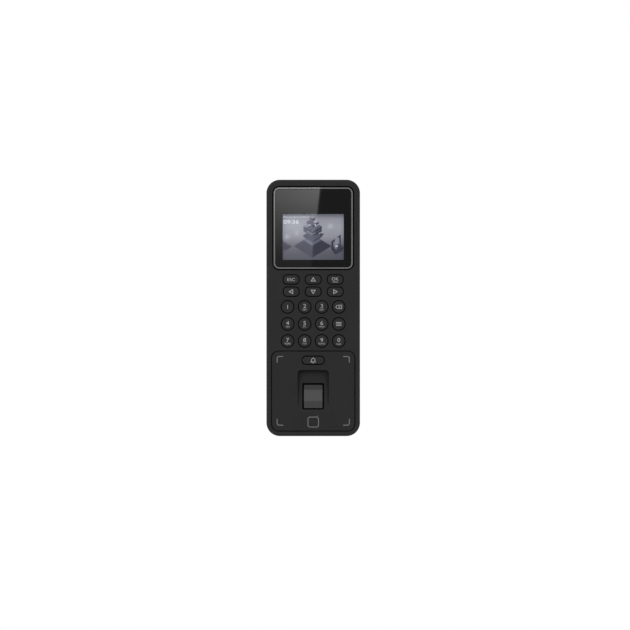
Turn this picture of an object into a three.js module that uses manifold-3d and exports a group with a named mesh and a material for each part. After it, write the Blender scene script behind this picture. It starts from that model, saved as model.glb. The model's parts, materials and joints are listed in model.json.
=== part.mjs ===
// A wall-mounted access terminal with a screen, a keypad, a doorbell key and a fingerprint sensor.
//
// Lengths are millimetres. X runs to the right as seen from the front, Y runs back into the wall
// and Z runs up. The origin is the centre of the wall plate's back face, so the wall is y = 0.
// A "depth" below is a distance in front of the wall: depth d lies at y = -d.

import * as THREE from "three";
import { mergeVertices } from "three/addons/utils/BufferGeometryUtils.js";
import Module from "manifold-3d";

const wasm = await Module();
wasm.setup();

// ---------------------------------------------------------------- driving dimensions

const WIDTH = 75;
const HEIGHT = 205.5;
const FACE = 28; // depth of the front face, which is the object's thickness without the key tops
const CORNER = 10.8; // corner radius of the outline
const GAP = 0.3; // assembly gap between neighbouring pieces
const SHELL = 2.2; // side wall of both covers
const LAP = 0.2; // how far solids that are joined run into one another
const PAST = 1; // how far a cutting tool runs past the surface it opens

// The two covers meet at a reveal, with a tongue and a seal behind it.
const REAR_BACK = 0.4;
const REAR_FRONT = 13.2;
const FRONT_BACK = 13.6;
const REAR_INSET = 0.7; // the rear cover is this much smaller on each side
const FRONT_ROUND = 2; // rounding of the front cover's front edge
const FLOOR_BACK = 1.5; // bottom of the wall plate's recess
const FLOOR_FRONT = 3.8; // inside face of the rear cover's floor
const SEAL_SEAT = 16.8;
const SEAL_WIDTH = 1.1;
const SEAL_THICKNESS = 1.2;
const SEAL_LEDGE = 1.2; // how far the seal's seat stands in from the side wall
const TONGUE_GAP = 0.3; // between the rear cover's tongue and the front cover's wall
const CEILING = 24.2; // inside face of the front cover

// Display: a window in a bright trim ring, with the panel behind it.
const WINDOW = { width: 60.6, height: 62.4, radius: 3.2, z: 63.9 };
const TRIM_WIDTH = 1.0;
const TRIM_PROUD = 0.3; // how far the trim stands out of the front face
const GLASS_PROUD = 0.2;
const POCKET_GAP = 0.8; // shadow gap between the trim and the front cover
const WINDOW_POCKET = 26.2;
const LCD = { width: 60.3, height: 42.7, z: 56.9 };
const LCD_VIEW = { width: 52, height: 40 };
const LCD_FRONT = 24.9;
const LCD_BACK = 22.3;
const TAPE = { inset: 0.4, width: 2.5 }; // adhesive under the window's edge
const LCD_TRAY = { width: 64, height: 47, back: 20.4, fit: 0.6, rim: 6 };

// Keys. Every key is a cap, a flange that holds it behind the cover, and a stem.
const KEY_TRAVEL = 0.9;
const KEY_GAP = 0.45;
const KEY_PROUD = 0.5;
const KEY_SKIN = 25.6; // inside face of the thinned wall behind the keypad
const FLANGE = 0.95; // how far a flange stands out round its cap
const FLANGE_THICKNESS = 1.1;
const STEM_LENGTH = 0.8;
const ROUND_KEY = 4.95;
const ROUND_PITCH = 13.65;
const ROUND_TOP_ROW = 0.8;
const PILL = { width: 12.45, height: 7.25, radius: 3.0 };
const PILL_PITCH = 17.65;
const PILL_ROWS = [22.7, 13.0];
const BELL = { width: 17.5, height: 6.3, radius: 3.15, z: -41.95 };
const KEY_SIDES = 18;
const DOME = { radius: 3, clearance: 0.2 }; // the silicone domes under the keys

// Lower panel, with the finger well scooped into it.
const PANEL = { width: 66.1, height: 63.4, radius: 5.3, z: -66.6 };
const PANEL_BACK = 26.0;
const PANEL_GAP = 0.6;
const BELL_GAP = 0.5;
const WELL = { width: 23.9, radius: 2.6, top: -50.1, bottom: -83.0 };
const WELL_SLOPE = 0.193; // the floor falls away by this much per millimetre of height
const WELL_FILLET = 3.0;
const WELL_SKIN = 1.6;
const WELL_ARC_STEPS = 6;
const TROUGH_GAP = 0.5; // room for the well's skin in the front cover

// Fingerprint sensor, which lies in the well's floor.
const SENSOR_Z = -71.0;
const SENSOR_WINDOW = { width: 14.8, height: 18.8, radius: 0.6 };
const SENSOR_FRAME = { width: 17.3, height: 21.8, radius: 1.2 };

// The sensor's stack. Each pair is a back and a front, measured outwards from the well's floor.
const SENSOR_SEAL = [-1.5, -0.3];
const SENSOR_GLASS = [-1.1, 0.1];
const SENSOR_CASE = { back: -12.4, front: -2.0, wall: 2.5, floor: 1.6 };
const SENSOR_BOARD = { width: 22, height: 26, back: -13.9, front: -12.7 };
const PRISM = { back: -7.4, front: -1.4, lip: 1.5 };
const LENS = { radius: 2.8, tip: 1.8, shoulder: -9, front: -7.8, z: 3, hole: 3.2 };

// Boards.
const BOARD = 1.6; // circuit board thickness
const MAIN_BOARD = { width: 66, bottom: -44, top: 88, back: 14.5 };
const KEY_BOARD = { width: 56, bottom: -33.2, top: 28.4, back: 19.4 };
const KEY_MAT = { width: 50, back: 21, thickness: 1 };
const BOARD_POSTS = { x: 26.6, zs: [17.8, -19.7], radius: 1.4 };
const ANTENNA = { width: 50, bottom: -97.1, top: -37.55, border: 1 };
const PROCESSOR = { size: 14, thickness: 1.4, x: -8, z: 50 };
const COIN_CELL = { radius: 6, thickness: 3.1, x: 20, z: 62 };
const HEADER = { height: 7, depth: 7, wall: 1, socket: 4.4, floor: 1.6 };
const WIRING_HEADER = { width: 40, x: 0, z: 64.5 };
const POWER_HEADER = { width: 12, x: -13, z: 55.5 };
const RELAY = { width: 19, height: 15, back: 5, x: 19, z: -8 };
const TAMPER_SWITCH = { size: 6, back: 11.5 };
const BOARD_CONNECTOR = { width: 24, height: 5, z: -20 };
const FLEX = {
  width: 9,
  thickness: 0.3,
  x: 8,
  route: [
    [-58.2, 12.6],
    [-55, 11.2],
    [-50, 10.6],
    [-45, 11.4],
    [-41.5, 13.4],
    [-39.5, 14.2],
  ],
};

// Fasteners.
const CASE_SCREW = { x: 29.3, z: 94.3, boss: 3.2, pilot: 1.25, shaft: 1.2, head: 2.6 };
const CASE_SCREW_HEAD = { back: 1.0, front: 2.5 };
const BOARD_SCREW = { x: 30.2, zs: [84, -38], boss: 2.8, pilot: 1.25, shaft: 1.2, head: 2.4 };
const BOARD_SCREW_HEAD = 1.7; // height of its head
const CLEARANCE_HOLE = 1.6;
const PILOT_END = CEILING - 2;

// Wall plate and what passes through it.
const PLATE = { width: 58, height: 170, radius: 3, thickness: 1.2 };
const LIFT_OFF = 3.4; // the terminal is raised by this much to come off its hooks
const HOOKS = [
  [-10, 80],
  [10, 80],
  [-24, -60],
  [24, -60],
];
const HOOK = { width: 8, stem: 1.6, lip: 3.0, front: 5.2 };
const WALL_SLOTS = [
  [-23, 76],
  [23, 76],
  [-23, -46],
  [23, -46],
];
const SLOT = { width: 5, height: 10, radius: 2.5 };
const HEAD_POCKET = { margin: 2.5, front: 4.6, skin: 1.6 }; // room for the wall screws' heads
const CABLE_OPENING = { width: 38, bottom: 26, top: 68.5 };
const WIRING_BAY = { width: 48, bottom: 22, top: 72, front: 12 };
const BAY_SKIN = 1.7;
const HEADER_OPENING = { width: 44, bottom: 50.5, top: 70 };
const TAMPER = { x: -20, z: -30, shaft: 2.2, collar: 3.6, pin: 1.3 };
const TAMPER_STATIONS = { tip: 0.3, collarBack: 6.6, collarFront: 7.6, end: 11.2 };
const TAMPER_OPENING = 4;
const SPRING = { turns: 3, radius: 2.4, wire: 0.3, back: 8.1, length: 2.9 };
const SPEAKER = { z: -72, radius: 13.5, back: 4.1, front: 9.5, magnet: 8, step: 2, opening: 9 };
const GRILLE = { hole: 1.3, ring: 5 };
const LOCK_TAB = { width: 16, z: -96.4, thickness: 1.5, front: 9.6 };
const LOCK_WELL_TOP = -92;
const LOCK_DEPTH = 6; // depth of the security screw's axis
const LOCK_SCREW = { head: 2.8, thickness: 0.95, shaft: 1.5, top: -93, hole: 1.8, recess: 3.1 };
const BOTTOM_EDGE = REAR_INSET - HEIGHT / 2; // lower end of the rear cover

// ---------------------------------------------------------------- materials

const paint = (color, roughness, metalness = 0) =>
  new THREE.MeshStandardMaterial({ color, roughness, metalness });
const housingPlastic = paint(0x303030, 0.6);
const keyPlastic = paint(0x333333, 0.5);
const trimMetal = paint(0x8c8b87, 0.3, 0.9);
const blackGlass = paint(0x1b1b1b, 0.05);
const screenGlass = paint(0x8f94a6, 0.2);
const sensorGlass = paint(0x4c4c4c, 0.15);
const blackRubber = paint(0x141414, 0.8);
const greyRubber = paint(0x5b5d60, 0.8);
const boardGreen = paint(0x1d4a2d, 0.5);
const componentBlack = paint(0x1a1a1a, 0.5);
const headerWhite = paint(0xd8d4c6, 0.5);
const relayBlue = paint(0x2a4f86, 0.4);
const clearPrism = paint(0x9aa0a4, 0.05);
const steel = paint(0xa8aaac, 0.35, 0.9);
const zincPlate = paint(0xb4b6b8, 0.45, 0.8);
const ribbonPlastic = paint(0xc9a64a, 0.5);

// ---------------------------------------------------------------- solids

/** A closed geometry as a solid that can be joined and cut. */
function solid(geometry) {
  const bare = geometry.index ? geometry.toNonIndexed() : geometry.clone();
  bare.deleteAttribute("normal");
  bare.deleteAttribute("uv");
  const merged = mergeVertices(bare, 1e-4);
  const corners = merged.index.array;
  const faces = [];
  for (let i = 0; i < corners.length; i += 3) {
    const [a, b, c] = corners.subarray(i, i + 3);
    if (a !== b && b !== c && c !== a) faces.push(a, b, c);
  }
  const mesh = new wasm.Mesh({
    numProp: 3,
    vertProperties: merged.attributes.position.array,
    triVerts: new Uint32Array(faces),
  });
  return new wasm.Manifold(mesh);
}

const join = (...parts) => parts.reduce((sum, part) => sum.add(part));
const cut = (body, ...tools) => tools.reduce((rest, tool) => rest.subtract(tool), body);

/** A rectangle with round corners, drawn in the front view. */
function roundedRect(width, height, radius) {
  const x = width / 2 - radius;
  const z = height / 2 - radius;
  const quarter = Math.PI / 2;
  const shape = new THREE.Shape();
  shape.absarc(x, z, radius, 0, quarter);
  shape.absarc(-x, z, radius, quarter, 2 * quarter);
  shape.absarc(-x, -z, radius, 2 * quarter, 3 * quarter);
  shape.absarc(x, -z, radius, 3 * quarter, 4 * quarter);
  return shape;
}

/** A front-view shape filled between two depths, with an optional rounded front edge. */
function slab(shape, back, front, { x = 0, z = 0, segments = 2, round = 0, bevel = 1 } = {}) {
  const geometry = new THREE.ExtrudeGeometry(shape, {
    depth: front - back - round,
    curveSegments: segments,
    bevelEnabled: round > 0,
    bevelThickness: round,
    bevelSize: round,
    bevelOffset: -round,
    bevelSegments: bevel,
  });
  geometry.rotateX(Math.PI / 2);
  geometry.translate(x, -back, z);
  const whole = solid(geometry);
  if (round === 0) return whole;
  return cut(whole, block(2 * WIDTH, 2 * HEIGHT, back - 2 * round, back, x, z));
}

/** A box given by its front-view size and centre, and its two depths. */
function block(width, height, back, front, x = 0, z = 0) {
  const geometry = new THREE.BoxGeometry(width, front - back, height);
  geometry.translate(x, -(back + front) / 2, z);
  return solid(geometry);
}

/** A box between two heights. */
const blockBetween = (width, bottom, top, back, front, x = 0) =>
  block(width, top - bottom, back, front, x, (bottom + top) / 2);

/** A round bar that points out of the wall. */
function rod(radius, back, front, x = 0, z = 0, sides = 12) {
  const geometry = new THREE.CylinderGeometry(radius, radius, front - back, sides);
  geometry.translate(x, -(back + front) / 2, z);
  return solid(geometry);
}

/** A round bar that points up. */
function upright(radius, bottom, top, x, depth, sides = 12) {
  const geometry = new THREE.CylinderGeometry(radius, radius, top - bottom, sides);
  geometry.rotateX(Math.PI / 2);
  geometry.translate(x, -depth, (bottom + top) / 2);
  return solid(geometry);
}

/** A profile of [radius, y] points turned about the Y axis, listed from its back end to its front. */
function turned(profile, sides = KEY_SIDES) {
  const points = profile.map(([radius, y]) => new THREE.Vector2(radius, y)).reverse();
  return solid(new THREE.LatheGeometry(points, sides));
}

/** A side-view outline of [z, depth] points, extruded across the width. */
function across(outline, width, x = 0) {
  const shape = new THREE.Shape(outline.map(([z, depth]) => new THREE.Vector2(z, depth)));
  const geometry = new THREE.ExtrudeGeometry(shape, { depth: width, bevelEnabled: false });
  // Shape x becomes Z, shape y becomes -Y and the extrusion becomes -X.
  const axes = new THREE.Matrix4().makeBasis(
    new THREE.Vector3(0, 0, 1),
    new THREE.Vector3(0, -1, 0),
    new THREE.Vector3(1, 0, 0),
  );
  geometry.applyMatrix4(axes);
  geometry.translate(x - width / 2, 0, 0);
  return solid(geometry);
}

/** A flat ribbon of the given thickness that follows [z, depth] points. */
function ribbon(route, width, thickness, x) {
  const sides = [1, -1].map((side) =>
    route.map(([z, depth], i) => {
      const [z0, d0] = route[Math.max(i - 1, 0)];
      const [z1, d1] = route[Math.min(i + 1, route.length - 1)];
      const length = Math.hypot(z1 - z0, d1 - d0);
      const offset = (side * thickness) / 2 / length;
      return [z - (d1 - d0) * offset, depth + (z1 - z0) * offset];
    }),
  );
  return across([...sides[0], ...sides[1].reverse()], width, x);
}

/** Adds a solid to a group as a named piece. */
function piece(group, name, material, made) {
  const { vertProperties, triVerts } = made.getMesh();
  const geometry = new THREE.BufferGeometry();
  geometry.setAttribute("position", new THREE.BufferAttribute(vertProperties, 3));
  geometry.setIndex(new THREE.BufferAttribute(triVerts, 1));
  geometry.computeVertexNormals();
  const mesh = new THREE.Mesh(geometry, material);
  mesh.name = name;
  group.add(mesh);
  return mesh;
}

const grown = (shape, by) => roundedRect(shape.width + 2 * by, shape.height + 2 * by, shape.radius + by);
const outline = (inset) =>
  roundedRect(WIDTH - 2 * inset, HEIGHT - 2 * inset, Math.max(CORNER - inset, 1));
const corners = ({ x, z }) => [-1, 1].flatMap((sx) => [-1, 1].map((sz) => [sx * x, sz * z]));

// ---------------------------------------------------------------- keys

// The keypad's keys by name, each with its shape and its place on the front face.
const rowNames = [
  ["key_1", "key_2", "key_3", "key_delete"],
  ["key_4", "key_5", "key_6", "key_menu"],
  ["key_7", "key_8", "key_9", "key_0"],
];
const pillNames = [
  ["key_escape", "key_up", "key_confirm"],
  ["key_left", "key_down", "key_right"],
];
const roundKeys = rowNames.flatMap((names, row) =>
  names.map((name, column) => ({
    name,
    x: (column - 1.5) * ROUND_PITCH,
    z: ROUND_TOP_ROW - row * ROUND_PITCH,
  })),
);
const pillKeys = pillNames.flatMap((names, row) =>
  names.map((name, column) => ({ name, x: (column - 1) * PILL_PITCH, z: PILL_ROWS[row] })),
);

// Key solids are made about a point on the front face's plane, with y running inwards.
const FLANGE_FRONT = FACE - KEY_SKIN + GAP;
const FLANGE_BACK = FLANGE_FRONT + FLANGE_THICKNESS;
const STEM_BACK = FLANGE_BACK + STEM_LENGTH;
const STEM_RADIUS = 2;
const CAP_EDGE = 0.35;

function roundKey() {
  return turned([
    [0, STEM_BACK],
    [STEM_RADIUS, STEM_BACK],
    [STEM_RADIUS, FLANGE_BACK],
    [ROUND_KEY + FLANGE, FLANGE_BACK],
    [ROUND_KEY + FLANGE, FLANGE_FRONT],
    [ROUND_KEY, FLANGE_FRONT],
    [ROUND_KEY, CAP_EDGE - KEY_PROUD],
    [ROUND_KEY - CAP_EDGE, -KEY_PROUD],
    [0, -KEY_PROUD],
  ]);
}

function longKey(shape, flangeFront) {
  const flangeBack = flangeFront + FLANGE_THICKNESS;
  return join(
    slab(grown(shape, 0), -flangeFront - LAP, KEY_PROUD, { round: CAP_EDGE }),
    slab(grown(shape, FLANGE), -flangeBack, -flangeFront),
    rod(STEM_RADIUS, -flangeBack - STEM_LENGTH, -flangeBack + LAP),
  );
}

function keypad() {
  const group = new THREE.Group();
  group.position.y = -FACE;
  for (const { name, x, z } of roundKeys)
    piece(group, name, keyPlastic, roundKey()).position.set(x, 0, z);
  for (const { name, x, z } of pillKeys)
    piece(group, name, keyPlastic, longKey(PILL, FLANGE_FRONT)).position.set(x, 0, z);
  const bellFlange = FACE - PANEL_BACK + GAP;
  piece(group, "key_doorbell", keyPlastic, longKey(BELL, bellFlange)).position.z = BELL.z;
  return group;
}

/** The silicone mat's sheet, with a low dome under each key at its pressed height. */
function keyMat() {
  const { width, back, thickness } = KEY_MAT;
  const sheetFront = back + thickness;
  const domeFront = FACE - STEM_BACK - KEY_TRAVEL - DOME.clearance;
  const sheet = blockBetween(width, KEY_BOARD.bottom + GAP, KEY_BOARD.top - GAP, back, sheetFront);
  const domes = [...roundKeys, ...pillKeys].map(({ x, z }) =>
    rod(DOME.radius, sheetFront - LAP, domeFront, x, z, 8),
  );
  return join(sheet, ...domes);
}

// ---------------------------------------------------------------- finger well

/** The well's hollow, or with skin its outer body, as a side profile cut to its front-view shape. */
function wellSolid(skin) {
  const { width, radius, top, bottom } = WELL;
  const mouth = FACE + PAST;
  const slant = skin * Math.hypot(1, WELL_SLOPE);
  const floorAt = (z) => FACE - (z - bottom) * WELL_SLOPE - slant;
  const foot = bottom - (mouth - FACE + slant) / WELL_SLOPE;
  const fillet = WELL_FILLET + skin;
  const end = top + skin;
  const arc = Array.from({ length: WELL_ARC_STEPS + 1 }, (_, i) => {
    const angle = (i / WELL_ARC_STEPS) * (Math.PI / 2);
    return [end - fillet * (1 - Math.sin(angle)), floorAt(end - fillet) + fillet * (1 - Math.cos(angle))];
  });
  const profile = across([[end, mouth], [foot, mouth], ...arc], width + 2 * skin);
  // The frame's lower corners lie below the foot, so that only its upper corners round the well.
  const height = end - foot + 4 * (radius + skin);
  const frame = roundedRect(width + 2 * skin, height, radius + skin);
  return profile.intersect(slab(frame, 0, mouth + PAST, { z: end - height / 2 }));
}

// The sensor's own frame lies in the well's floor, with y running inwards.
const sensorDepth = FACE - (SENSOR_Z - WELL.bottom) * WELL_SLOPE;
const sensorTilt = -Math.atan(WELL_SLOPE);

function lowerPanel() {
  const slabBody = slab(grown(PANEL, 0), PANEL_BACK, FACE, { z: PANEL.z, segments: 3 });
  const beyond = block(2 * WIDTH, HEIGHT, FACE - LAP, FACE + 2 * PAST, 0, PANEL.z);
  const trough = cut(wellSolid(WELL_SKIN), beyond);
  const below = blockBetween(2 * WIDTH, -HEIGHT, WELL.bottom - WELL_SKIN - LAP, 0, PANEL_BACK);
  const opening = slab(grown(SENSOR_FRAME, GAP), SENSOR_CASE.front - LAP, -SENSOR_CASE.front)
    .rotate([(sensorTilt * 180) / Math.PI, 0, 0])
    .translate([0, -sensorDepth, SENSOR_Z]);
  return cut(
    join(slabBody, cut(trough, below)),
    wellSolid(0),
    opening,
    slab(grown(BELL, BELL_GAP), PANEL_BACK - PAST, FACE + PAST, { z: BELL.z }),
  );
}

function fingerprintModule() {
  const group = new THREE.Group();
  group.position.set(0, -sensorDepth, SENSOR_Z);
  group.rotation.x = sensorTilt;
  const { width, height } = SENSOR_WINDOW;

  const sealInner = grown(SENSOR_WINDOW, GAP);
  const [sealBack, sealFront] = SENSOR_SEAL;
  const seal = cut(
    slab(grown(SENSOR_FRAME, 0), sealBack, sealFront),
    slab(sealInner, sealBack - PAST, sealFront + PAST),
  );
  piece(group, "sensor_seal", blackRubber, seal);
  piece(group, "sensor_window", sensorGlass, slab(grown(SENSOR_WINDOW, 0), ...SENSOR_GLASS));

  // The prism turns the window's image down the module's axis, to the camera behind it.
  const prism = across(
    [
      [-height / 2, PRISM.front],
      [-height / 2, PRISM.front - PRISM.lip],
      [-height / 6, PRISM.back],
      [height / 2, PRISM.back],
      [height / 2, PRISM.front],
    ],
    width,
  );
  piece(group, "sensor_prism", clearPrism, prism);

  const { back: caseBack, front: caseFront, wall, floor } = SENSOR_CASE;
  const casing = cut(
    block(width + 2 * wall, height + 2 * wall, caseBack, caseFront),
    block(width + 2 * GAP, height + 2 * GAP, caseBack + floor, caseFront + PAST),
    rod(LENS.hole, caseBack - PAST, caseBack + floor + PAST, 0, LENS.z),
  );
  piece(group, "sensor_housing", componentBlack, casing);
  const barrel = join(
    rod(LENS.radius, caseBack, LENS.shoulder, 0, LENS.z),
    rod(LENS.tip, LENS.shoulder - LAP, LENS.front, 0, LENS.z),
  );
  piece(group, "sensor_lens", componentBlack, barrel);
  const board = SENSOR_BOARD;
  piece(group, "sensor_board", boardGreen, block(board.width, board.height, board.back, board.front));
  return group;
}

// ---------------------------------------------------------------- covers

/** Square-edged inside of a cover, between two depths, at a wall thickness. */
const cavity = (inset, back, front) => slab(outline(inset), back, front, { segments: 3 });

function frontCover() {
  const pocket = grown(WINDOW, GAP + TRIM_WIDTH + POCKET_GAP);
  const boardFront = MAIN_BOARD.back + BOARD;
  const { x: postX, zs, radius } = BOARD_POSTS;
  const posts = zs.flatMap((z) => [-postX, postX].map((x) => [x, z]));
  const bosses = [
    ...corners(CASE_SCREW).map(([x, z]) => rod(CASE_SCREW.boss, FRONT_BACK, CEILING + LAP, x, z)),
    ...boardScrewPlaces().map(([x, z]) => rod(BOARD_SCREW.boss, boardFront, CEILING + LAP, x, z)),
    ...posts.map(([x, z]) => rod(radius, KEY_MAT.back, KEY_SKIN + LAP, x, z)),
  ];
  const pilots = [
    ...corners(CASE_SCREW).map(([x, z]) => rod(CASE_SCREW.pilot, FRONT_BACK - PAST, PILOT_END, x, z)),
    ...boardScrewPlaces().map(([x, z]) => rod(BOARD_SCREW.pilot, FRONT_BACK, PILOT_END, x, z)),
  ];
  const shell = cut(
    slab(outline(0), FRONT_BACK, FACE, { segments: 4, round: FRONT_ROUND, bevel: 3 }),
    cavity(SHELL, FRONT_BACK - PAST, SEAL_SEAT),
    cavity(SHELL + SEAL_LEDGE, SEAL_SEAT - PAST, CEILING),
  );
  const keypadRelief = blockBetween(
    KEY_BOARD.width + 2,
    KEY_BOARD.bottom,
    KEY_BOARD.top,
    CEILING - PAST,
    KEY_SKIN,
  );
  const lcdRelief = block(LCD.width + 1, LCD.height + 1, CEILING - PAST, LCD_FRONT, 0, LCD.z);
  const lcdOpening = block(LCD_VIEW.width, LCD_VIEW.height, CEILING, FACE, 0, LCD.z);
  const windowPocket = slab(pocket, WINDOW_POCKET, FACE + PAST, { z: WINDOW.z, segments: 3 });
  const panelPocket = slab(grown(PANEL, PANEL_GAP), PANEL_BACK, FACE + PAST, {
    z: PANEL.z,
    segments: 3,
  });
  const troughOpening = blockBetween(
    WELL.width + 2 * (WELL_SKIN + TROUGH_GAP),
    WELL.bottom - WELL_SKIN - 2 * TROUGH_GAP,
    WELL.top + WELL_SKIN + TROUGH_GAP,
    CEILING - PAST,
    FACE,
  );
  const bellOpening = slab(grown(BELL, FLANGE + GAP), CEILING - PAST, FACE, { z: BELL.z });
  const roundHoles = roundKeys.map(({ x, z }) =>
    rod(ROUND_KEY + KEY_GAP, KEY_SKIN - PAST, FACE + PAST, x, z, KEY_SIDES),
  );
  const pillHoles = pillKeys.map(({ x, z }) =>
    slab(grown(PILL, KEY_GAP), KEY_SKIN - PAST, FACE + PAST, { x, z }),
  );
  return cut(
    cut(shell, keypadRelief, lcdRelief, lcdOpening).add(join(...bosses)),
    windowPocket,
    panelPocket,
    troughOpening,
    bellOpening,
    ...roundHoles,
    ...pillHoles,
    ...pilots,
  );
}

function boardScrewPlaces() {
  return BOARD_SCREW.zs.flatMap((z) => [-1, 1].map((side) => [side * BOARD_SCREW.x, z]));
}

function rearCover() {
  const lip = SHELL + TONGUE_GAP;
  const tongueFront = SEAL_SEAT - SEAL_THICKNESS - TONGUE_GAP;
  const tongue = cut(
    slab(outline(lip), REAR_FRONT - PAST, tongueFront, { segments: 3 }),
    cavity(lip + SEAL_WIDTH, REAR_FRONT - 2 * PAST, SEAL_SEAT),
  );
  const shell = cut(
    slab(outline(REAR_INSET), REAR_BACK, REAR_FRONT, { segments: 4 }),
    cavity(REAR_INSET + SHELL, FLOOR_FRONT, REAR_FRONT + PAST),
  );
  const posts = corners(CASE_SCREW).map(([x, z]) =>
    rod(CASE_SCREW.boss, FLOOR_FRONT - LAP, REAR_FRONT, x, z),
  );
  const bay = WIRING_BAY;
  const bayWall = blockBetween(
    bay.width + 2 * BAY_SKIN,
    bay.bottom - BAY_SKIN,
    bay.top + BAY_SKIN,
    FLOOR_FRONT - LAP,
    bay.front + BAY_SKIN,
  );
  const lockWell = { width: LOCK_TAB.width + 4, bottom: BOTTOM_EDGE + SHELL, front: LOCK_TAB.front + 1 };
  const lockWall = blockBetween(
    lockWell.width + 2 * BAY_SKIN,
    lockWell.bottom - LAP,
    LOCK_WELL_TOP + BAY_SKIN,
    FLOOR_FRONT - LAP,
    lockWell.front + BAY_SKIN,
  );
  const pocketMargin = HEAD_POCKET.margin + HEAD_POCKET.skin;
  const pocketWalls = WALL_SLOTS.map(([x, z]) =>
    slab(grown(SLOT, pocketMargin), FLOOR_FRONT - LAP, HEAD_POCKET.front + HEAD_POCKET.skin, { x, z }),
  );
  const solidCover = join(shell, tongue, ...posts, bayWall, lockWall, ...pocketWalls);

  const headers = HEADER_OPENING;
  const through = FLOOR_FRONT + PAST;
  const recesses = [
    slab(grown(PLATE, LIFT_OFF), 0, FLOOR_BACK),
    blockBetween(lockWell.width, lockWell.bottom, PAST - PLATE.height / 2, 0, FLOOR_BACK),
    blockBetween(lockWell.width, lockWell.bottom, LOCK_WELL_TOP, 0, lockWell.front),
    blockBetween(bay.width, bay.bottom, bay.top, 0, bay.front),
    blockBetween(headers.width, headers.bottom, headers.top, 0, bay.front + BAY_SKIN + PAST),
  ];
  const hookSlots = HOOKS.map(([x, z]) =>
    blockBetween(HOOK.width + 2, z - HOOK.stem - LIFT_OFF, z + GAP, 0, through, x),
  );
  const headPockets = WALL_SLOTS.map(([x, z]) =>
    slab(grown(SLOT, HEAD_POCKET.margin), 0, HEAD_POCKET.front, { x, z }),
  );
  const screwHoles = corners(CASE_SCREW).flatMap(([x, z]) => [
    rod(CASE_SCREW.head + 0.4, 0, CASE_SCREW_HEAD.front, x, z),
    rod(CLEARANCE_HOLE, 0, REAR_FRONT + PAST, x, z),
  ]);
  const hexagon = Array.from({ length: 6 }, (_, i) => (i * Math.PI) / 3);
  const ring = hexagon.map((angle) => [GRILLE.ring * Math.cos(angle), GRILLE.ring * Math.sin(angle)]);
  const grille = [[0, 0], ...ring].map(([x, z]) => rod(GRILLE.hole, 0, through, x, SPEAKER.z + z, 10));
  return cut(
    solidCover,
    ...recesses,
    ...hookSlots,
    ...headPockets,
    ...screwHoles,
    ...grille,
    rod(TAMPER.shaft + 0.4, 0, through, TAMPER.x, TAMPER.z),
    upright(LOCK_SCREW.hole, BOTTOM_EDGE - PAST, lockWell.bottom + LAP, 0, LOCK_DEPTH),
    upright(LOCK_SCREW.recess, BOTTOM_EDGE - PAST, BOTTOM_EDGE + LOCK_SCREW.thickness + 0.1, 0, LOCK_DEPTH),
  );
}

function wallPlate() {
  const { thickness } = PLATE;
  const tab = blockBetween(LOCK_TAB.width, LOCK_TAB.z, PAST - PLATE.height / 2, 0, thickness);
  const flange = blockBetween(
    LOCK_TAB.width,
    LOCK_TAB.z,
    LOCK_TAB.z + LOCK_TAB.thickness,
    thickness - LAP,
    LOCK_TAB.front,
  );
  const hooks = HOOKS.map(([x, z]) =>
    join(
      blockBetween(HOOK.width, z - HOOK.stem, z, thickness - LAP, HOOK.front, x),
      blockBetween(HOOK.width, z - LAP, z + HOOK.lip, HOOK.front - thickness, HOOK.front, x),
    ),
  );
  const slots = WALL_SLOTS.map(([x, z]) => slab(grown(SLOT, 0), -PAST, thickness + PAST, { x, z }));
  const cable = CABLE_OPENING;
  return cut(
    join(slab(grown(PLATE, 0), 0, thickness), tab, flange, ...hooks),
    ...slots,
    blockBetween(cable.width, cable.bottom, cable.top, -PAST, thickness + PAST),
    rod(SPEAKER.opening, -PAST, thickness + PAST, 0, SPEAKER.z, 20),
    rod(TAMPER_OPENING, -PAST, thickness + PAST, TAMPER.x, TAMPER.z),
    upright(CLEARANCE_HOLE, LOCK_TAB.z - PAST, LOCK_TAB.z + LOCK_TAB.thickness + PAST, 0, LOCK_DEPTH),
  );
}

// ---------------------------------------------------------------- assemblies

function display() {
  const group = new THREE.Group();
  group.position.z = WINDOW.z;
  const trimOuter = grown(WINDOW, GAP + TRIM_WIDTH);
  const trimInner = grown(WINDOW, GAP);
  const trim = cut(
    slab(trimOuter, WINDOW_POCKET, FACE + TRIM_PROUD, { segments: 3 }),
    slab(trimInner, WINDOW_POCKET - PAST, FACE + PAST, { segments: 3 }),
  );
  piece(group, "display_trim", trimMetal, trim);
  const glass = slab(grown(WINDOW, 0), WINDOW_POCKET + GAP, FACE + GLASS_PROUD, { segments: 3 });
  piece(group, "display_window", blackGlass, glass);
  const tape = cut(
    slab(grown(WINDOW, -TAPE.inset), WINDOW_POCKET, WINDOW_POCKET + GAP),
    slab(grown(WINDOW, -TAPE.inset - TAPE.width), WINDOW_POCKET - PAST, WINDOW_POCKET + PAST),
  );
  piece(group, "window_adhesive", blackRubber, tape);

  const lcdZ = LCD.z - WINDOW.z;
  const lcd = block(LCD.width, LCD.height, LCD_BACK, LCD_FRONT, 0, lcdZ);
  piece(group, "lcd_module", screenGlass, lcd);
  const tray = cut(
    block(LCD_TRAY.width, LCD_TRAY.height, LCD_TRAY.back, CEILING, 0, lcdZ),
    block(LCD.width + LCD_TRAY.fit, LCD.height + LCD_TRAY.fit, LCD_BACK, CEILING + PAST, 0, lcdZ),
    block(LCD.width - 2 * LCD_TRAY.rim, LCD.height - 2 * LCD_TRAY.rim, 0, FACE, 0, lcdZ),
  );
  piece(group, "lcd_bracket", componentBlack, tray);
  return group;
}

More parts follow.
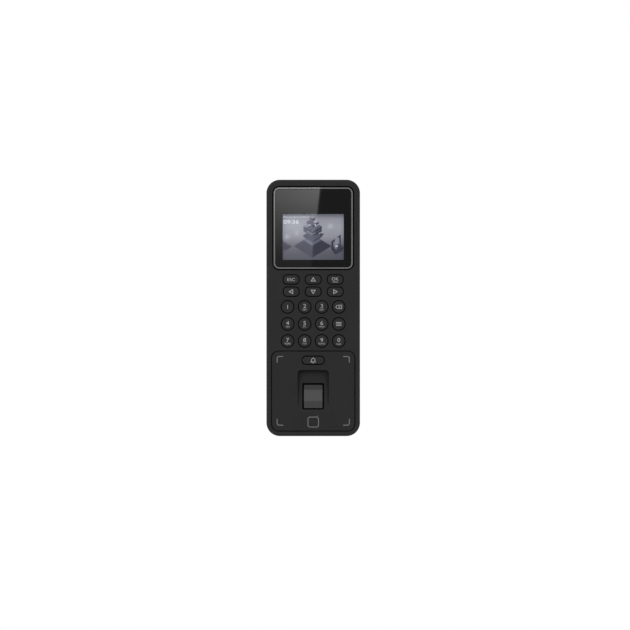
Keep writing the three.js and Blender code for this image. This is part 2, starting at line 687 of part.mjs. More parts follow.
function keypadBoards() {
  const group = new THREE.Group();
  const { width, bottom, top, back } = KEY_BOARD;
  piece(group, "key_mat", greyRubber, keyMat());
  piece(group, "key_board", boardGreen, blockBetween(width, bottom, top, back, back + BOARD));

  // The doorbell's switch is on the reader's antenna board, which rings the fingerprint module.
  const { back: antennaBack, thickness } = KEY_MAT;
  const antennaFront = antennaBack + thickness;
  const antenna = cut(
    blockBetween(ANTENNA.width, ANTENNA.bottom, ANTENNA.top, antennaBack, antennaFront),
    blockBetween(
      WELL.width + 2 * (WELL_SKIN + ANTENNA.border),
      WELL.bottom - 2 * WELL_SKIN,
      WELL.top + WELL_SKIN + ANTENNA.border,
      0,
      FACE,
    ),
  );
  piece(group, "antenna_board", boardGreen, antenna);
  const stemEnd = PANEL_BACK - GAP - FLANGE_THICKNESS - STEM_LENGTH;
  const padFront = stemEnd - KEY_TRAVEL - DOME.clearance;
  piece(group, "doorbell_pad", greyRubber, rod(DOME.radius, antennaFront, padFront, 0, BELL.z));
  return group;
}

function mainElectronics() {
  const group = new THREE.Group();
  const { width, bottom, top, back } = MAIN_BOARD;
  const front = back + BOARD;
  const { x: chipX, z: chipZ, size: chip, thickness: chipHeight } = PROCESSOR;
  const { x: cellX, z: cellZ, radius: cell, thickness: cellHeight } = COIN_CELL;
  const holes = boardScrewPlaces().map(([x, z]) => rod(CLEARANCE_HOLE, back - PAST, front + PAST, x, z));
  piece(group, "main_board", boardGreen, cut(blockBetween(width, bottom, top, back, front), ...holes));
  piece(group, "processor", componentBlack, block(chip, chip, front, front + chipHeight, chipX, chipZ));
  const cellBack = front + GAP;
  piece(group, "coin_cell", steel, rod(cell, cellBack, cellBack + cellHeight, cellX, cellZ));

  const header = ({ width: size, x, z }) => {
    const end = back - HEADER.depth;
    const socket = block(size - 2 * HEADER.wall, HEADER.socket, end - PAST, back - HEADER.floor, x, z);
    return cut(block(size, HEADER.height, end, back, x, z), socket);
  };
  piece(group, "wiring_header", headerWhite, header(WIRING_HEADER));
  piece(group, "power_header", headerWhite, header(POWER_HEADER));
  const relay = block(RELAY.width, RELAY.height, RELAY.back, back, RELAY.x, RELAY.z);
  piece(group, "relay", relayBlue, relay);
  const { size: switchSize, back: switchBack } = TAMPER_SWITCH;
  const tamperSwitch = block(switchSize, switchSize, switchBack, back, TAMPER.x, TAMPER.z);
  piece(group, "tamper_switch", componentBlack, tamperSwitch);
  const { width: plugWidth, height: plugHeight, z: plugZ } = BOARD_CONNECTOR;
  const connector = block(plugWidth, plugHeight, front, KEY_BOARD.back, 0, plugZ);
  piece(group, "board_connector", componentBlack, connector);
  for (const [i, [x, z]] of boardScrewPlaces().entries()) {
    const screw = join(
      rod(BOARD_SCREW.head, back - BOARD_SCREW_HEAD, back, x, z),
      rod(BOARD_SCREW.shaft, back - LAP, PILOT_END - PAST, x, z, 8),
    );
    piece(group, `board_screw_${i + 1}`, steel, screw);
  }
  const flex = ribbon(FLEX.route, FLEX.width, FLEX.thickness, FLEX.x);
  piece(group, "sensor_flex", ribbonPlastic, flex);
  return group;
}

function rearAssembly() {
  const group = new THREE.Group();
  piece(group, "rear_cover", housingPlastic, rearCover());
  const sealBack = SEAL_SEAT - SEAL_THICKNESS - 0.1;
  const seal = cut(
    slab(outline(SHELL + TONGUE_GAP), sealBack, sealBack + SEAL_THICKNESS, { segments: 3 }),
    cavity(SHELL + TONGUE_GAP + SEAL_WIDTH, sealBack - PAST, SEAL_SEAT + PAST),
  );
  piece(group, "housing_seal", blackRubber, seal);
  const { radius, back, front, magnet, step, z } = SPEAKER;
  const speaker = join(
    rod(radius, back, front - step, 0, z, 24),
    rod(magnet, front - step - LAP, front, 0, z, 20),
  );
  piece(group, "speaker", componentBlack, speaker);
  for (const [i, [x, z]] of corners(CASE_SCREW).entries()) {
    const screw = join(
      rod(CASE_SCREW.head, CASE_SCREW_HEAD.back, CASE_SCREW_HEAD.front, x, z),
      rod(CASE_SCREW.shaft, CASE_SCREW_HEAD.front - LAP, PILOT_END - 2 * PAST, x, z, 8),
    );
    piece(group, `housing_screw_${i + 1}`, steel, screw);
  }
  return group;
}

/** Spring-loaded plunger that the wall holds in. Its own frame has y = 0 at the wall. */
function tamperPlunger() {
  const group = new THREE.Group();
  group.position.set(TAMPER.x, 0, TAMPER.z);
  const { tip, collarBack, collarFront, end } = TAMPER_STATIONS;
  const plunger = turned(
    [
      [0, -tip],
      [TAMPER.shaft, -tip],
      [TAMPER.shaft, -collarBack],
      [TAMPER.collar, -collarBack],
      [TAMPER.collar, -collarFront],
      [TAMPER.pin, -collarFront],
      [TAMPER.pin, -end],
      [0, -end],
    ],
    16,
  );
  piece(group, "tamper_plunger", componentBlack, plunger);

  const { turns, radius, wire: wireRadius, back, length } = SPRING;
  const steps = 12 * turns;
  const coil = Array.from({ length: steps + 1 }, (_, i) => {
    const angle = (i / steps) * turns * 2 * Math.PI;
    const depth = back + (length * i) / steps;
    return new THREE.Vector3(radius * Math.cos(angle), -depth, radius * Math.sin(angle));
  });
  const section = new THREE.Shape().absarc(0, 0, wireRadius, 0, 2 * Math.PI);
  const wire = new THREE.ExtrudeGeometry(section, {
    extrudePath: new THREE.CatmullRomCurve3(coil),
    steps,
    curveSegments: 3,
  });
  piece(group, "tamper_spring", steel, solid(wire));
  return group;
}

function wallFixing() {
  const group = new THREE.Group();
  piece(group, "wall_plate", zincPlate, wallPlate());
  const headTop = BOTTOM_EDGE + LOCK_SCREW.thickness;
  const screw = join(
    upright(LOCK_SCREW.head, BOTTOM_EDGE, headTop, 0, LOCK_DEPTH),
    upright(LOCK_SCREW.shaft, headTop - LAP, LOCK_SCREW.top, 0, LOCK_DEPTH),
  );
  piece(group, "security_screw", steel, screw);
  return group;
}

const terminal = new THREE.Group();
const front = new THREE.Group();
piece(front, "front_cover", housingPlastic, frontCover());
piece(front, "lower_panel", housingPlastic, lowerPanel());
front.add(display(), keypad(), keypadBoards(), fingerprintModule());
terminal.add(front, mainElectronics(), rearAssembly(), tamperPlunger(), wallFixing());

export default terminal;
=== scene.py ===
"""The looks of a wall-mounted terminal with a screen, a keypad and a fingerprint sensor.

Outlines are drawn in the front view in millimetres, as (x, z) points. A depth is a distance in front of
the wall: depth d lies at y = -d. Meshes are made in metres.
"""

import json
import math

import bmesh
import bpy
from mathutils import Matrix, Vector
from mathutils.geometry import tessellate_polygon

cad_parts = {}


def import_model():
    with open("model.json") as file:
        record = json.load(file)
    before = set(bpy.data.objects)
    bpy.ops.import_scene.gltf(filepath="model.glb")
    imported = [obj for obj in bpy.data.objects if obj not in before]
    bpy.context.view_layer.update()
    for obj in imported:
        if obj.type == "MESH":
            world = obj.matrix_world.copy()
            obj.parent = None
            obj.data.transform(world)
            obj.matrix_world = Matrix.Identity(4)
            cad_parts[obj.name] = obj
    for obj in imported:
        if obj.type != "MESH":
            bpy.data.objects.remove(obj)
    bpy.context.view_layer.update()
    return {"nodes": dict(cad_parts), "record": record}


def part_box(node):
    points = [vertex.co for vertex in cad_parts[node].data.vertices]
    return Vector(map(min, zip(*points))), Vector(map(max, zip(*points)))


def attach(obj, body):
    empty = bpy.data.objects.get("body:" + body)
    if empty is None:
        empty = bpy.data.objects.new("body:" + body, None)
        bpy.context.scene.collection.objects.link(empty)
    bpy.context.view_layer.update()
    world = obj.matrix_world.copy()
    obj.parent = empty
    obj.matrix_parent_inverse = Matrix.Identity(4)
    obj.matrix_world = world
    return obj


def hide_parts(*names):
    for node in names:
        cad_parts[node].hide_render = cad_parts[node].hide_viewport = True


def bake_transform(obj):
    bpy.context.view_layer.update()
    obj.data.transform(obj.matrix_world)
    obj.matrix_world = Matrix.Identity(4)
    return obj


MM = 0.001
ROOT = "terminal"

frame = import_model()


# ---------------- places, from the CAD frame


class Place:
    """A CAD node's box: its front-view centre and size, and its two depths."""

    def __init__(self, node):
        low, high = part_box(node)
        self.x = (low[0] + high[0]) / 2 / MM
        self.z = (low[2] + high[2]) / 2 / MM
        self.width = (high[0] - low[0]) / MM
        self.height = (high[2] - low[2]) / MM
        self.back = -high[1] / MM
        self.front = -low[1] / MM


COVER = Place("front_cover")
REAR = Place("rear_cover")
PANEL = Place("lower_panel")
TRIM = Place("display_trim")
WINDOW = Place("display_window")
LCD = Place("lcd_module")
SENSOR = Place("sensor_window")

FACE = COVER.front
CORNER = 10.8  # radius of the housing's corners
EDGE = 1.9  # rounding of the front cover's front edge
SKIN = 25.6  # inside face of the thinned wall behind the keypad
SHELL = 3.4  # thickness of the front cover's side walls
SEAM = 2.2  # width of the step that overlaps the rear cover
POCKET_FLOOR = TRIM.back
PANEL_FLOOR = 26.0


# ---------------- outlines

SAME = 1e-4  # two points closer than this are one point


class Outline:
    """A rectangle with round corners. Outlines grown from one another have the same number of points.

    steps is the number of steps round a corner, and pieces the number of equal pieces of a straight side.
    """

    def __init__(self, width, height, radius, x=0.0, z=0.0, steps=8, pieces=1):
        self.width = width
        self.height = height
        self.radius = radius
        self.x = x
        self.z = z
        self.steps = steps
        self.pieces = pieces

    def grown(self, by):
        """The same outline, larger all round. Its corners never become quite sharp."""
        width = self.width + 2 * by
        height = self.height + 2 * by
        radius = max(self.radius + by, 0.02)
        return Outline(width, height, radius, self.x, self.z, self.steps, self.pieces)

    def points(self):
        across = self.width / 2 - self.radius
        up = self.height / 2 - self.radius
        found = []
        for quarter, (sx, sz) in enumerate(((1, 1), (-1, 1), (-1, -1), (1, -1))):
            for step in range(self.steps + 1):
                angle = (quarter + step / self.steps) * math.pi / 2
                x = self.x + sx * across + self.radius * math.cos(angle)
                z = self.z + sz * up + self.radius * math.sin(angle)
                if not found or math.dist(found[-1], (x, z)) > SAME:
                    found.append((x, z))
            if self.pieces > 1:
                corner = found[-1]
                reach = (-sx * 2 * across, 0) if sx == sz else (0, -sz * 2 * up)
                for piece in range(1, self.pieces):
                    part = piece / self.pieces
                    found.append((corner[0] + reach[0] * part, corner[1] + reach[1] * part))
        if math.dist(found[0], found[-1]) < SAME:
            found.pop()
        return found


def disc(radius, x=0.0, z=0.0, steps=12):
    return Outline(2 * radius, 2 * radius, radius, x, z, steps)


def rounded_edge(outline, face, radius, outward, steps=4):
    """Stations from a flat face round to the wall: outward is 1 for a hole's edge, -1 for a body's."""
    stations = []
    for step in range(steps + 1):
        angle = step / steps * math.pi / 2
        shape = outline.grown(outward * radius * (1 - math.sin(angle)))
        stations.append((shape, face - radius * (1 - math.cos(angle))))
    return stations


# ---------------- meshes


def add_object(name, data):
    made = bpy.data.objects.new(name, data)
    bpy.context.scene.collection.objects.link(made)
    return made


def add_mesh(name, mesh, *materials):
    """Turns a bmesh into an object of the scene."""
    data = bpy.data.meshes.new(name)
    mesh.to_mesh(data)
    mesh.free()
    for material in materials:
        data.materials.append(material)
    return add_object(name, data)


def triangles(loops, up="z"):
    """The triangles that fill the first of the loops of vertices, less the others."""
    flat_loops = [[Vector((v.co.x / MM, getattr(v.co, up) / MM, 0)) for v in loop] for loop in loops]
    corners = [v for loop in loops for v in loop]
    found = [[corners[i] for i in triangle] for triangle in tessellate_polygon(flat_loops)]
    return [triangle for triangle in found if len(set(triangle)) == 3]


def flat(depth):
    """A surface that lies at one depth everywhere."""
    return lambda x, z: depth


class Body:
    """A mesh made of rings of points at given depths, strips between the rings, and flat fills."""

    def __init__(self):
        self.mesh = bmesh.new()
        self.slot = 0

    def face(self, corners):
        made = self.mesh.faces.new(corners)
        made.material_index = self.slot
        return made

    def ring(self, outline, depth):
        points = outline.points() if isinstance(outline, Outline) else outline
        at = depth if callable(depth) else flat(depth)
        return [self.mesh.verts.new((x * MM, -at(x, z) * MM, z * MM)) for x, z in points]

    def strip(self, first, second):
        count = len(first)
        for i in range(count):
            j = (i + 1) % count
            self.face((first[i], first[j], second[j], second[i]))

    def path(self, stations, closed=False):
        """Rings at the stations, joined in order. Returns the first and last rings."""
        rings = [self.ring(outline, depth) for outline, depth in stations]
        for first, second in zip(rings, rings[1:]):
            self.strip(first, second)
        if closed:
            self.strip(rings[-1], rings[0])
        return rings[0], rings[-1]

    def fill(self, outer, holes=()):
        """A flat face inside a ring, with holes."""
        for triangle in triangles([outer, *holes]):
            self.face(triangle)

    def add(self, mesh):
        """Joins another mesh, in the current material slot."""
        first_face = len(self.mesh.faces)
        self.mesh.from_mesh(mesh)
        self.mesh.faces.ensure_lookup_table()
        for face in self.mesh.faces[first_face:]:
            face.material_index = self.slot

    def finish(self, name, materials, body=ROOT, slot=None, replaces=(), sharp=32):
        """Turns the mesh into a piece that rides on a body, unless body is None."""
        bmesh.ops.recalc_face_normals(self.mesh, faces=self.mesh.faces)
        limit = math.radians(sharp)
        for edge in self.mesh.edges:
            edge.smooth = len(edge.link_faces) == 2 and edge.calc_face_angle(0) < limit
        for face in self.mesh.faces:
            face.smooth = True
        piece = add_mesh(name, self.mesh, *materials)
        piece.modifiers.new("normals", "WEIGHTED_NORMAL").keep_sharp = True
        if body:
            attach(piece, body)
        if replaces:
            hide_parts(*replaces)
        return piece


# ---------------- prints: marks with a little thickness

INK = 0.03  # thickness of a printed mark
CAPITAL = 0.72  # height of the font's capitals, as a part of its size
PATCH = 0.5  # a mark that follows a curved surface has no edge much longer than this
HALVINGS = 3  # enough to bring a mark's longest edge down to that
MITRE = 0.35  # a pen's line reaches no further at a sharp bend than its half width over this


def outlined(loops):
    """A thin mesh of the XY plane, centred on the origin, with the given outer loop and holes."""
    mesh = bmesh.new()
    sheets = [
        [[mesh.verts.new((x * MM, z * MM, side * INK / 2 * MM)) for x, z in loop] for loop in loops]
        for side in (1, -1)
    ]
    for top, bottom in zip(*sheets):
        for i in range(len(top)):
            j = (i + 1) % len(top)
            mesh.faces.new((top[i], top[j], bottom[j], bottom[i]))
    for sheet in sheets:
        for triangle in triangles(sheet, up="y"):
            mesh.faces.new(triangle)
    data = bpy.data.meshes.new("outlined")
    mesh.to_mesh(data)
    mesh.free()
    return data


def lay(body, print_mesh, x, z, front, stretch=1.0):
    """Stands a thin mesh of the XY plane up at (x, z), bent to follow a surface at depth front(x, z)."""
    fine = bmesh.new()
    fine.from_mesh(print_mesh)
    for _ in range(HALVINGS):
        long_edges = [edge for edge in fine.edges if edge.calc_length() > PATCH * MM]
        bmesh.ops.subdivide_edges(fine, edges=long_edges, cuts=1)
    bmesh.ops.triangulate(fine, faces=fine.faces)
    for vertex in fine.verts:
        across = vertex.co.x * stretch / MM + x
        up = vertex.co.y / MM + z
        depth = front(across, up) - INK / 2
        vertex.co = (across * MM, -depth * MM - vertex.co.z, up * MM)
    fine.to_mesh(print_mesh)
    fine.free()
    body.add(print_mesh)


def stroke(points, width, closed=False):
    """The loops that a pen of the given width leaves along a line of points."""
    count = len(points)
    sides = [[], []]
    for i, (x, z) in enumerate(points):
        before = points[i - 1] if i or closed else points[i]
        after = points[(i + 1) % count] if i < count - 1 or closed else points[i]
        incoming = Vector((x - before[0], z - before[1]))
        outgoing = Vector((after[0] - x, after[1] - z))
        ahead = (incoming.normalized() + outgoing.normalized()).normalized()
        leg = (outgoing if outgoing.length else incoming).normalized()
        reach = width / 2 / max(ahead.dot(leg), MITRE)
        for side, way in zip(sides, (1, -1)):
            side.append((x - ahead.y * reach * way, z + ahead.x * reach * way))
    if closed:
        return [sides[1], sides[0]]
    return [sides[0] + sides[1][::-1]]


def shifted(loops, x, z):
    return [[(px + x, pz + z) for px, pz in loop] for loop in loops]


def arc(x, z, radius, start, end, steps=8):
    """Points on a circle between two angles in degrees."""
    angles = [math.radians(start + (end - start) * i / steps) for i in range(steps + 1)]
    return [(x + radius * math.cos(a), z + radius * math.sin(a)) for a in angles]


def lettering(text, height, bold):
    """A thin mesh of the text, centred on the origin, lying in the XY plane."""
    curve = bpy.data.curves.new("lettering", "FONT")
    curve.body = text
    curve.size = height / CAPITAL * MM
    curve.offset = bold / 2 * MM
    curve.space_character = 1 + bold / height
    curve.align_x = "CENTER"
    curve.extrude = INK / 2 * MM
    curve.resolution_u = 4
    holder = add_object("lettering", curve)
    bpy.context.view_layer.update()
    seen = holder.evaluated_get(bpy.context.evaluated_depsgraph_get())
    mesh = bpy.data.meshes.new_from_object(seen)
    bpy.data.objects.remove(holder)
    bpy.data.curves.remove(curve)
    across = [v.co.x for v in mesh.vertices]
    up = [v.co.y for v in mesh.vertices]
    for vertex in mesh.vertices:
        vertex.co.x -= (min(across) + max(across)) / 2
        vertex.co.y -= (min(up) + max(up)) / 2
    return mesh


def write(body, text, height, x, z, front, stretch=1.0, bold=0.0):
    """Adds upright lettering centred on (x, z), whose front lies at depth front(x, z)."""
    lay(body, lettering(text, height, bold), x, z, front, stretch)


# ---------------- materials


def linear(value):
    """A screen value from 0 to 255 as linear light."""
    part = value / 255
    return part / 12.92 if part <= 0.04045 else ((part + 0.055) / 1.055) ** 2.4


def colour(red, green=None, blue=None):
    green = red if green is None else green
    blue = red if blue is None else blue
    return (linear(red), linear(green), linear(blue), 1)


class Nodes:
    """The node tree of a material or a world, with short ways to add nodes."""

    def __init__(self, owner):
        owner.use_nodes = True
        self.nodes = owner.node_tree.nodes
        self.links = owner.node_tree.links

    def node(self, kind, sockets, **settings):
        """Adds a node. Each socket gets a value, or a link from another node's output."""
        made = self.nodes.new("ShaderNode" + kind)
        for name, value in settings.items():
            setattr(made, name, value)
        for name, value in sockets.items():
            if isinstance(value, bpy.types.NodeSocket):
                self.links.new(value, made.inputs[name])
            else:
                made.inputs[name].default_value = value
        return made

    def range(self, value, low, high, start=0.0, end=1.0):
        """Maps start to low and end to high."""
        sockets = {"Value": value, "From Min": start, "From Max": end, "To Min": low, "To Max": high}
        return self.node("MapRange", sockets).outputs["Result"]


class Shader(Nodes):
    """A material with one Principled shader."""

    def __init__(self, name):
        self.material = bpy.data.materials.new(name)
        super().__init__(self.material)
        self.main = self.nodes["Principled BSDF"]
        self.place = self.node("TexCoord", {}).outputs["Object"]

    def set(self, **values):
        for name, value in values.items():
            self.main.inputs[name.replace("_", " ")].default_value = value
        return self

    def link(self, output, target):
        self.links.new(output, self.main.inputs[target])

    def noise(self, scale, detail=2.0, roughness=0.5, vector=None):
        sockets = {"Vector": vector or self.place, "Scale": scale, "Detail": detail, "Roughness": roughness}
        return self.node("TexNoise", sockets).outputs["Fac"]

    def ramp(self, value, stops, smooth=True):
        node = self.node("ValToRGB", {"Fac": value})
        node.color_ramp.interpolation = "EASE" if smooth else "LINEAR"
        elements = node.color_ramp.elements
        for element, (position, shade) in zip(elements, stops):
            element.position = position
            element.color = shade
        for position, shade in stops[2:]:
            elements.new(position).color = shade
        return node.outputs["Color"]

    def base(self, *ramp, **settings):
        self.link(self.ramp(*ramp, **settings), "Base Color")

    def roughness(self, *levels):
        self.link(self.range(*levels), "Roughness")

    def bump(self, height, distance, strength=1.0):
        sockets = {"Height": height, "Distance": distance * MM, "Strength": strength}
        self.link(self.node("Bump", sockets).outputs["Normal"], "Normal")


def tinted(shade, by):
    """A colour made darker or lighter by a factor."""
    return tuple(min(part * by, 1) for part in shade[:3]) + (1,)


def plastic(name, shade, roughness, grain=0.25, depth=0.02, mottle=0.06, gloss=0.3):
    """Moulded plastic: spark-eroded grain of the given size in millimetres, and faint flow mottling."""
    s = Shader(name).set(Specular_IOR_Level=gloss)
    clouds = s.noise(60, detail=3)
    s.base(clouds, [(0.3, tinted(shade, 1 - mottle)), (0.7, tinted(shade, 1 + mottle))])
    fine = s.noise(1 / (grain * MM), detail=2, roughness=0.6)
    s.roughness(s.noise(220, detail=4), roughness - 0.05, roughness + 0.05, 0.3, 0.7)
    s.bump(fine, depth)
    return s.material


def rubber(name, shade, gloss=0.15):
    """Matt rubber with a little dust on it."""
    s = Shader(name).set(Specular_IOR_Level=gloss)
    dust = s.noise(900, detail=4, roughness=0.7)
    s.base(dust, [(0.4, shade), (0.8, tinted(shade, 1.35))])
    s.roughness(dust, 0.65, 0.83)
    s.bump(s.noise(2500), 0.012)
    return s.material


def satin_metal(name, shade, roughness, brushed, lacquer=0.0):
    """Metal with fine lines: brushed is the stretch of the lines along X, Y and Z."""
    s = Shader(name).set(Metallic=1.0, Coat_Weight=lacquer, Coat_Roughness=0.01, Coat_IOR=1.65)
    stretched = s.node("Mapping", {"Vector": s.place, "Scale": brushed}).outputs["Vector"]
    lines = s.noise(900, detail=4, vector=stretched)
    s.base(lines, [(0.3, tinted(shade, 0.9)), (0.7, tinted(shade, 1.08))])
    s.roughness(lines, roughness - 0.06, roughness + 0.08, 0.3, 0.7)
    s.bump(lines, 0.004)
    return s.material


def zinc(name):
    """Zinc-plated sheet: satin, a little cloudy, with a fine grain."""
    s = Shader(name).set(Metallic=1.0)
    clouds = s.noise(70, detail=6, roughness=0.6)
    s.base(clouds, [(0.3, colour(166, 169, 173)), (0.72, colour(184, 187, 191))])
    s.roughness(s.noise(260, detail=5, roughness=0.7), 0.3, 0.5, 0.3, 0.7)
    s.bump(s.noise(1500, detail=3), 0.008)
    return s.material


def circuit_board(name):
    """Green solder mask over copper tracks and small tinned pads."""
    s = Shader(name).set(IOR=1.5)
    turned = s.node("Mapping", {"Vector": s.place, "Rotation": (math.pi / 2, 0, 0)}).outputs["Vector"]
    mask = colour(14, 58, 34)
    brick = {
        "Vector": turned,
        "Scale": 150,
        "Mortar Size": 0.035,
        "Mortar Smooth": 0.1,
        "Brick Width": 1.7,
        "Row Height": 0.31,
        "Color1": mask,
        "Color2": tinted(mask, 0.86),
        "Mortar": colour(34, 96, 58),
    }
    tracks = s.node("TexBrick", brick, offset=0.37, squash=0.6)
    cells = s.node("TexVoronoi", {"Vector": s.place, "Scale": 330}).outputs["Distance"]
    pads = s.ramp(cells, [(0.16, (1, 1, 1, 1)), (0.2, (0, 0, 0, 1))], smooth=False)
    layers = {"Factor": pads, "A": tracks.outputs["Color"], "B": colour(186, 184, 176)}
    s.link(s.node("Mix", layers, data_type="RGBA").outputs["Result"], "Base Color")
    s.link(pads, "Metallic")
    s.roughness(s.noise(300), 0.25, 0.42)
    s.bump(tracks.outputs["Fac"], 0.02, 0.5)
    return s.material


def clear(name, shade, roughness=0.02, smudge=0.05, index=1.49):
    """Clear pane or prism with faint smudges."""
    s = Shader(name).set(Transmission_Weight=1.0, IOR=index)
    haze = s.noise(45, detail=5, roughness=0.6)
    s.base(haze, [(0.0, shade), (1.0, tinted(shade, 0.97))])
    s.roughness(haze, roughness, roughness + smudge, 0.45, 0.8)
    return s.material


def printed_glass(name, shade):
    """Clear glass over a black print, seen as one glossy black surface."""
    s = Shader(name).set(IOR=1.5)
    haze = s.noise(45, detail=5, roughness=0.6)
    s.base(haze, [(0.3, shade), (0.8, tinted(shade, 1.12))])
    s.roughness(haze, 0.012, 0.022, 0.45, 0.8)
    return s.material


def ink(name, shade, roughness=0.5, gloss=0.3):
    """Screen-printed ink, slightly uneven in cover."""
    s = Shader(name).set(Specular_IOR_Level=gloss)
    cover = s.noise(1600, detail=3)
    s.base(cover, [(0.25, tinted(shade, 0.86)), (0.6, shade)])
    s.roughness(cover, roughness - 0.08, roughness + 0.08)
    s.bump(cover, 0.004)
    return s.material


def lit_picture(name, strength):
    """The screen's picture: the colours of the mesh's own points, lit from behind."""
    s = Shader(name).set(Base_Color=(0, 0, 0, 1), Roughness=0.35, Emission_Strength=strength)
    picture = s.node("Attribute", {}, attribute_name="picture")
    s.link(picture.outputs["Color"], "Emission Color")
    return s.material


def glowing(name, shade, strength):
    """Lit print, slightly uneven."""
    s = Shader(name).set(Base_Color=(0, 0, 0, 1), Emission_Strength=strength)
    s.link(s.ramp(s.noise(2200), [(0.0, tinted(shade, 0.94)), (1.0, shade)]), "Emission Color")
    return s.material


def sensor_glass(name, low, high):
    """The coated window of the optical sensor: three soft bands of painted reflection in its colour,
    standing for what its prism shows.
    """
    s = Shader(name).set(IOR=1.5, Coat_Weight=0.6, Coat_Roughness=0.04)
    height = s.node("SeparateXYZ", {"Vector": s.place}).outputs["Z"]
    up = s.range(height, 0.0, 1.0, low * MM, high * MM)
    dim = colour(64)
    bright = colour(92)
    middle = colour(72)
    # Painted reflection: the prism's dim and bright bands, put into the base colour by height.
    painted_reflection_bands = [(0.0, middle), (1.0, dim), (0.28, middle), (0.34, bright), (0.76, bright), (0.82, dim)]
    s.base(up, painted_reflection_bands, smooth=False)
    s.roughness(s.noise(120, detail=4), 0.16, 0.3)
    return s.material


CHARCOAL = colour(44)
housing_plastic = plastic("housing_plastic", CHARCOAL, 0.55)
panel_plastic = plastic("panel_plastic", CHARCOAL, 0.5)
key_plastic = plastic("key_plastic", colour(49), 0.45, grain=0.18, depth=0.012)
# The real dark plastic of the inner parts. It is also painted shade on the walls of the gaps in the front
# cover, the lower panel and the keys.
inner_plastic = plastic("inner_plastic", colour(8), 0.65, gloss=0.05)
legend_ink = ink("legend_ink", colour(205, 206, 208))
mark_ink = ink("mark_ink", colour(140, 141, 143))
trim_metal = satin_metal("trim_metal", colour(166, 166, 165), 0.4, (1, 8, 8), lacquer=1.0)
steel = satin_metal("steel", colour(176, 178, 180), 0.3, (6, 1, 6))
black_glass = printed_glass("black_glass", colour(22))
window_glass = clear("window_glass", colour(250), roughness=0.012, smudge=0.01, index=1.33)
picture_light = lit_picture("picture_light", 1.0)
text_light = glowing("text_light", colour(222, 226, 234), 1.0)

SLOT_MATERIALS = {
    "housing": housing_plastic,
    "keys": key_plastic,
    "trim": trim_metal,
    "display_glass": window_glass,
    "screen": ink("black_print", colour(9), 0.7, gloss=0.1),
    "sensor_glass": sensor_glass("sensor_painted_reflection", SENSOR.z - SENSOR.height / 2, SENSOR.z + SENSOR.height / 2),
    "clear_plastic": clear("prism_glass", colour(225, 232, 235)),
    "inner_plastic": inner_plastic,
    "black_rubber": rubber("black_rubber", colour(9), gloss=0.05),
    "grey_rubber": rubber("grey_silicone", colour(92, 94, 97)),
    "circuit_board": circuit_board("board_green"),
    "flex_ribbon": plastic("amber_film", colour(196, 148, 58), 0.3, mottle=0.05),
    "relay_blue": plastic("relay_plastic", colour(38, 76, 134), 0.35, mottle=0.03),
    "header_white": plastic("header_nylon", colour(214, 208, 192), 0.45, mottle=0.03),
    "steel": steel,
    "zinc_plate": zinc("zinc_plate"),
}

# Nodes whose material differs from their slot's.
OWN_MATERIALS = {"tamper_plunger": plastic("pin_plastic", colour(122, 124, 127), 0.4)}


def dress_cad_nodes():
    """Gives every CAD node the material of its slot, and softens the edges of those that show."""
    softened = {"rear_cover": 0.35, "wall_plate": 0.15, "sensor_seal": 0.25, "sensor_window": 0.12}
    for part in frame["record"]["subparts"]:
        node = frame["nodes"][part["node"]]
        node.data.materials.clear()
        node.data.materials.append(OWN_MATERIALS.get(part["node"], SLOT_MATERIALS[part["material_slot"]]))
        width = softened.get(part["node"])
        if not width:
            continue
        node.modifiers.new("weld", "WELD").merge_threshold = 0.002 * MM
        planar = node.modifiers.new("planar", "DECIMATE")
        planar.decimate_type = "DISSOLVE"
        planar.angle_limit = math.radians(1)
        bevel = node.modifiers.new("bevel", "BEVEL")
        bevel.width = width * MM
        bevel.segments = 3
        bevel.limit_method = "ANGLE"
        bevel.angle_limit = math.radians(40)
        bevel.harden_normals = False
        for face in node.data.polygons:
            face.use_smooth = True
        node.modifiers.new("normals", "WEIGHTED_NORMAL").keep_sharp = True


# ---------------- front cover

POCKET_REACH = 1.1  # how far the window's pocket reaches beyond the trim ring
POCKET_EDGE = 0.5
window_outline = Outline(TRIM.width, TRIM.height, 4.5, TRIM.x, TRIM.z, steps=10)
window_pocket = window_outline.grown(POCKET_REACH)
panel_outline = Outline(PANEL.width, PANEL.height, 5.3, PANEL.x, PANEL.z, steps=10)
body_outline = Outline(COVER.width, COVER.height, CORNER, COVER.x, COVER.z, steps=20)
lcd_opening = Outline(52, 40, 0.8, LCD.x, LCD.z, steps=10)

PANEL_GAP = 0.7  # round the lower panel
PANEL_EDGE = 0.38
WELL_WIDTH = 24.8
WELL_TOP = -49.9
WELL_BOTTOM = -83.0
WELL_SLOPE = 0.193
WELL_CORNER = 2.6

KEY_EDGE = 0.4
CAP_INSET = 0.2  # how much the visible caps stand back from the CAD's, all round
FLANGE = 0.95  # how far a key's retaining flange reaches beyond the CAD's cap
FLANGE_THICKNESS = 1.1
STEM_LENGTH = 0.8
PILL_CORNER = 3.0
KEY_HOLE_EDGE = 0.35
KEY_GAP = 0.45
BELL_GAP = 0.5  # round the doorbell key, which is in the lower panel
FLANGE_ROOM = 0.4  # round its flange


def key_outline(node):
    """The outline of a key's cap on the front, from its CAD node's box, which is as wide as its flange."""
    place = Place(node)
    if node.startswith("key_") and abs(place.width - place.height) < 0.5:
        return disc(place.height / 2 - FLANGE, place.x, place.z)
    height = place.height - 2 * FLANGE
    radius = height / 2 if node == "key_doorbell" else PILL_CORNER
    return Outline(place.width - 2 * FLANGE, height, radius, place.x, place.z)


KEYS = [node for node in frame["nodes"] if node.startswith("key_") and node not in ("key_mat", "key_board")]
key_outlines = {node: key_outline(node) for node in KEYS}

PAINTED_SHADE_FROM = FACE - 0.6  # painted shade: below this depth the walls of the gaps are the near-black inner plastic


